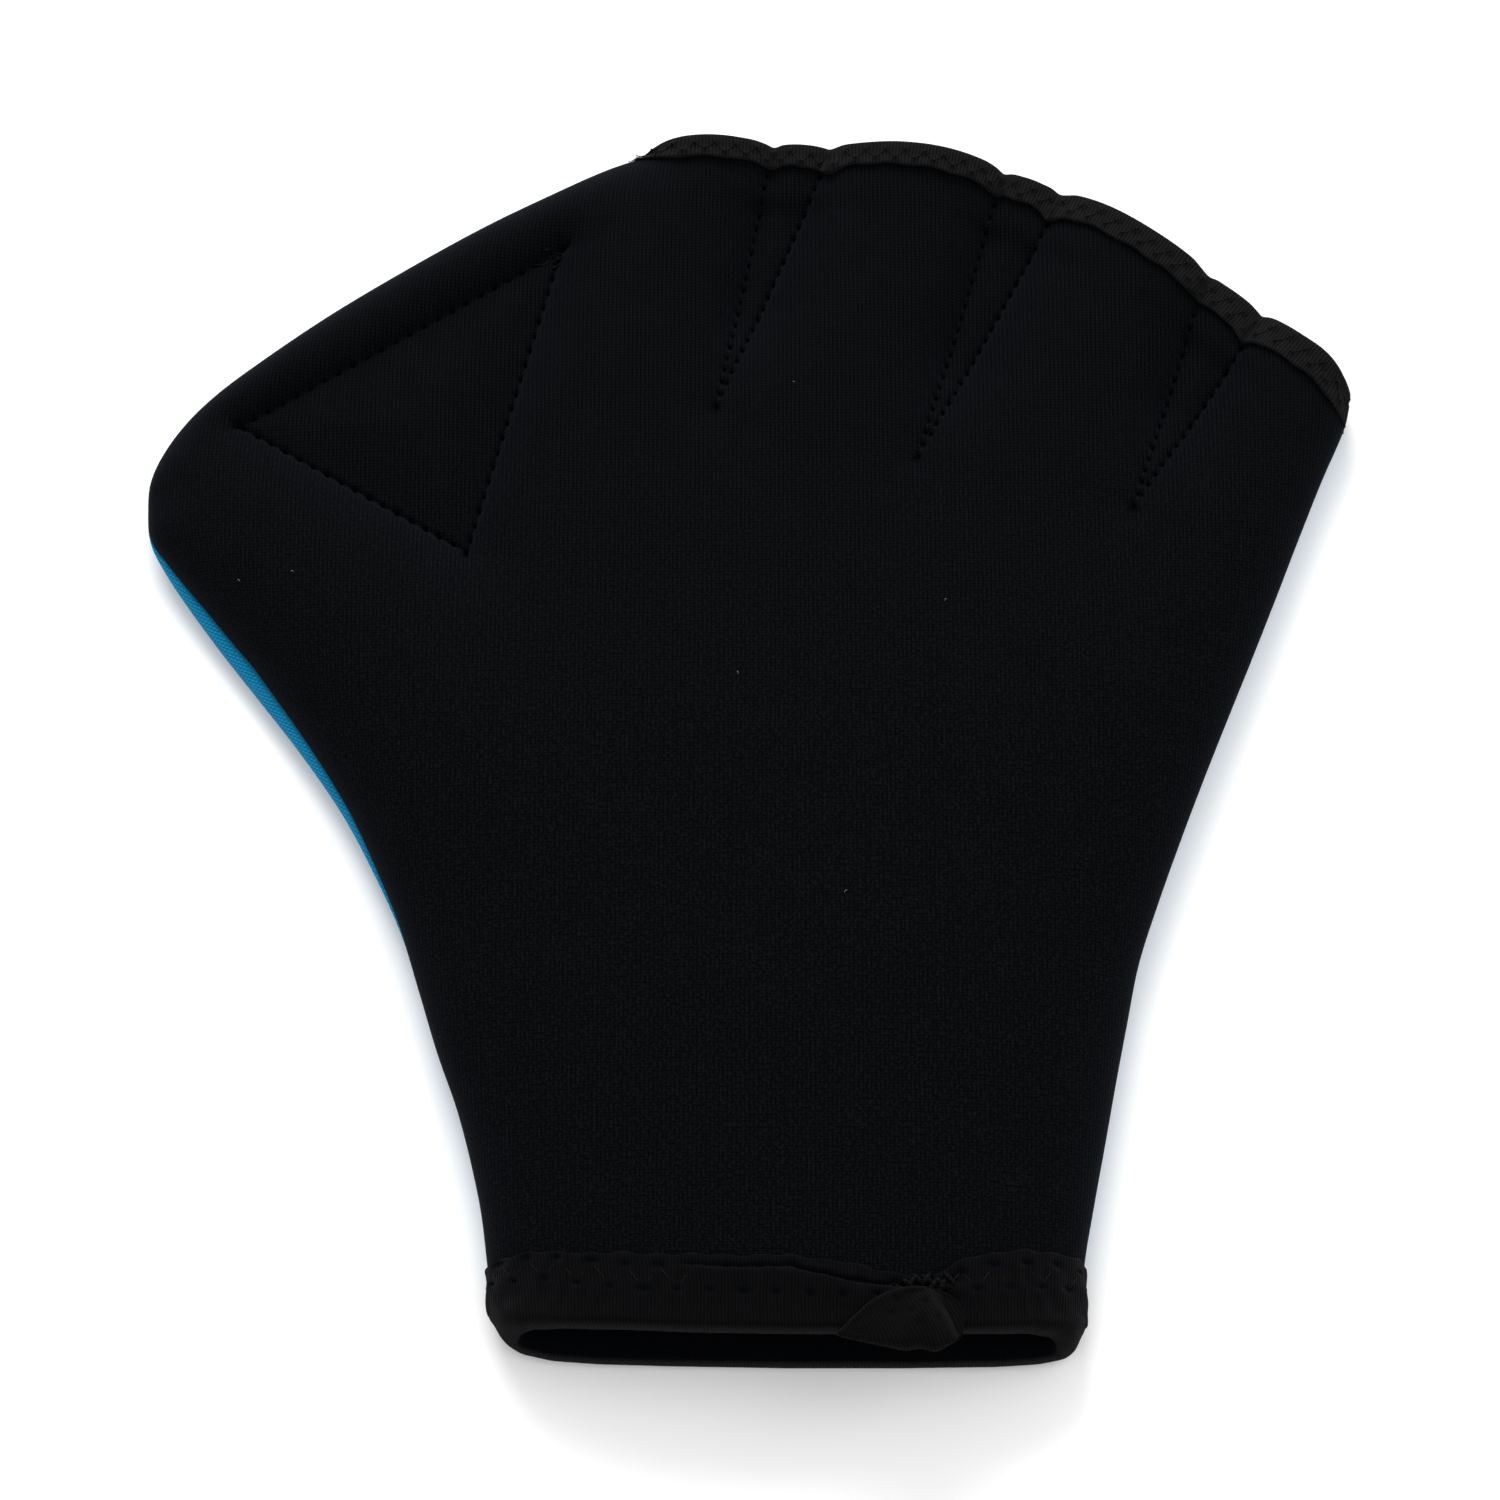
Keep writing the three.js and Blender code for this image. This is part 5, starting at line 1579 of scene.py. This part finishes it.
# Thread wound over the gathered tape end
def gatherStitches():
    paths = []
    share, up = wristTape["gatherAt"]
    middle = np.interp(np.arccos(1 - 2 * share), wristTurns, wristGone)
    for k in range(9):
        across = (k - 4) * 0.75 + rng.uniform(-0.35, 0.35)
        lean = rng.uniform(0.3, 1.1) * (1 if k % 2 else -1)
        at = middle + across + (steps - 0.5) * lean * 2
        ups = up + 0.7 + (steps - 0.5) * rng.uniform(1.4, 2.6) + rng.uniform(-0.6, 0.6)
        paths.append(wristPlace(at, ups, 0.6 * bend - 0.25))
    return paths


# Specks of pale lint caught in the knit
def lintFibres():
    paths = []
    for x, y in ((-80.3, 24.4), (-71.9, 25.4), (6.5, 57.7), (-2.3, 7.5), (14.2, -28.6), (30.0, 20.0)):
        x, y = x - originShift[0], y - originShift[1]
        heading = rng.uniform(0, math.pi)
        half = rng.uniform(0.15, 0.35)
        xs = x + (steps - 0.5) * 2 * half * math.cos(heading)
        ys = y + (steps - 0.5) * 2 * half * math.sin(heading) + 0.15 * bend
        paths.append(np.column_stack([xs, ys, palmTop(xs, ys) + 0.12 + 0.08 * bend]))
    return paths


def makeThreads():
    slim = thread["tapeRadius"]
    runs = [
        ("palm_seam_thread", seamStitches(True), thread["radius"], blackThread),
        ("back_seam_thread", seamStitches(False), thread["radius"], blackThread),
        ("palm_corner_tack", tackStitches(), 0.2, blackThread),
        ("wrist_tape_thread", zigzagStitches(zigzagAt, zigzagUp, wristPlace), slim, greyThread),
        ("palm_tip_tape_thread", zigzagStitches(tipZigzagAt, tipZigzagUp, tipPlace(True)), 0.1, tipThread),
        ("back_tip_tape_thread", zigzagStitches(tipZigzagAt, tipZigzagUp, tipPlace(False)), 0.1, tipThread),
        ("gather_thread", gatherStitches(), 0.42, blackThread),
        ("lint", lintFibres(), 0.035, paleLint),
    ]
    for name, paths, radius, look in runs:
        points, faces, weave = threadTubes(paths, radius)
        makePiece(name, points, faces, [look], (), None, weave, np.zeros(len(points)))


makePalm()
makeBack()
makeWristTape()
makeLap()
makeTipTape("palm_tip_tape", "palm_fingertip_binding", True)
makeTipTape("back_tip_tape", "back_fingertip_binding", False)
makeThreads()

# Camera at the photograph's angle
view = {
    "target": (-0.41, -1.57, 6.0),
    "elevation": 70.0,
    "distance": 973.5,
    "lens": 150.0,
}


def addCamera():
    camera = bpy.data.objects.new("camera", bpy.data.cameras.new("camera"))
    bpy.context.scene.collection.objects.link(camera)
    up = math.radians(view["elevation"])
    way = Vector((0, -math.cos(up), math.sin(up)))
    target = Vector(view["target"]) * mm
    camera.location = target + way * view["distance"] * mm
    camera.rotation_mode = "QUATERNION"
    camera.rotation_quaternion = (-way).to_track_quat("-Z", "Y")
    camera.data.lens = view["lens"]
    camera.data.sensor_width = 36.0
    camera.data.clip_start = 0.05
    camera.data.clip_end = 20.0
    bpy.context.scene.camera = camera


def addLight(name, way, size, power, colour):
    light = bpy.data.objects.new(name, bpy.data.lights.new(name, "AREA"))
    bpy.context.scene.collection.objects.link(light)
    light.data.shape = "SQUARE"
    light.data.size = size
    light.data.energy = power
    light.data.color = linear(colour)[:3]
    light.location = Vector(way)
    light.rotation_mode = "QUATERNION"
    light.rotation_quaternion = (-Vector(way)).to_track_quat("-Z", "Y")


def addFloor():
    size = 3.0
    mesh = bpy.data.meshes.new("floor")
    corners = [(-size, -size, 0), (size, -size, 0), (size, size, 0), (-size, size, 0)]
    mesh.from_pydata(corners, [], [[0, 1, 2, 3]])
    mesh.materials.append(boardWhite)
    floor = bpy.data.objects.new("floor", mesh)
    bpy.context.scene.collection.objects.link(floor)


def addSky():
    world = bpy.data.worlds.new("studio")
    bpy.context.scene.world = world
    world.use_nodes = True
    world.node_tree.nodes.clear()
    sky = addNode(world.node_tree, "ShaderNodeBackground", {"Color": (1, 1, 1, 1), "Strength": 1.0})
    addNode(world.node_tree, "ShaderNodeOutputWorld", links={0: sky.outputs[0]})


addCamera()
addFloor()
addSky()
addLight("key", (-0.2, 1.0, 0.75), 0.7, 15.0, "#ffffff")
addLight("fill", (0.9, 0.1, 1.1), 0.8, 4.0, "#ffffff")
bpy.context.scene.view_settings.view_transform = "Standard"
print("camera, floor and light ready")
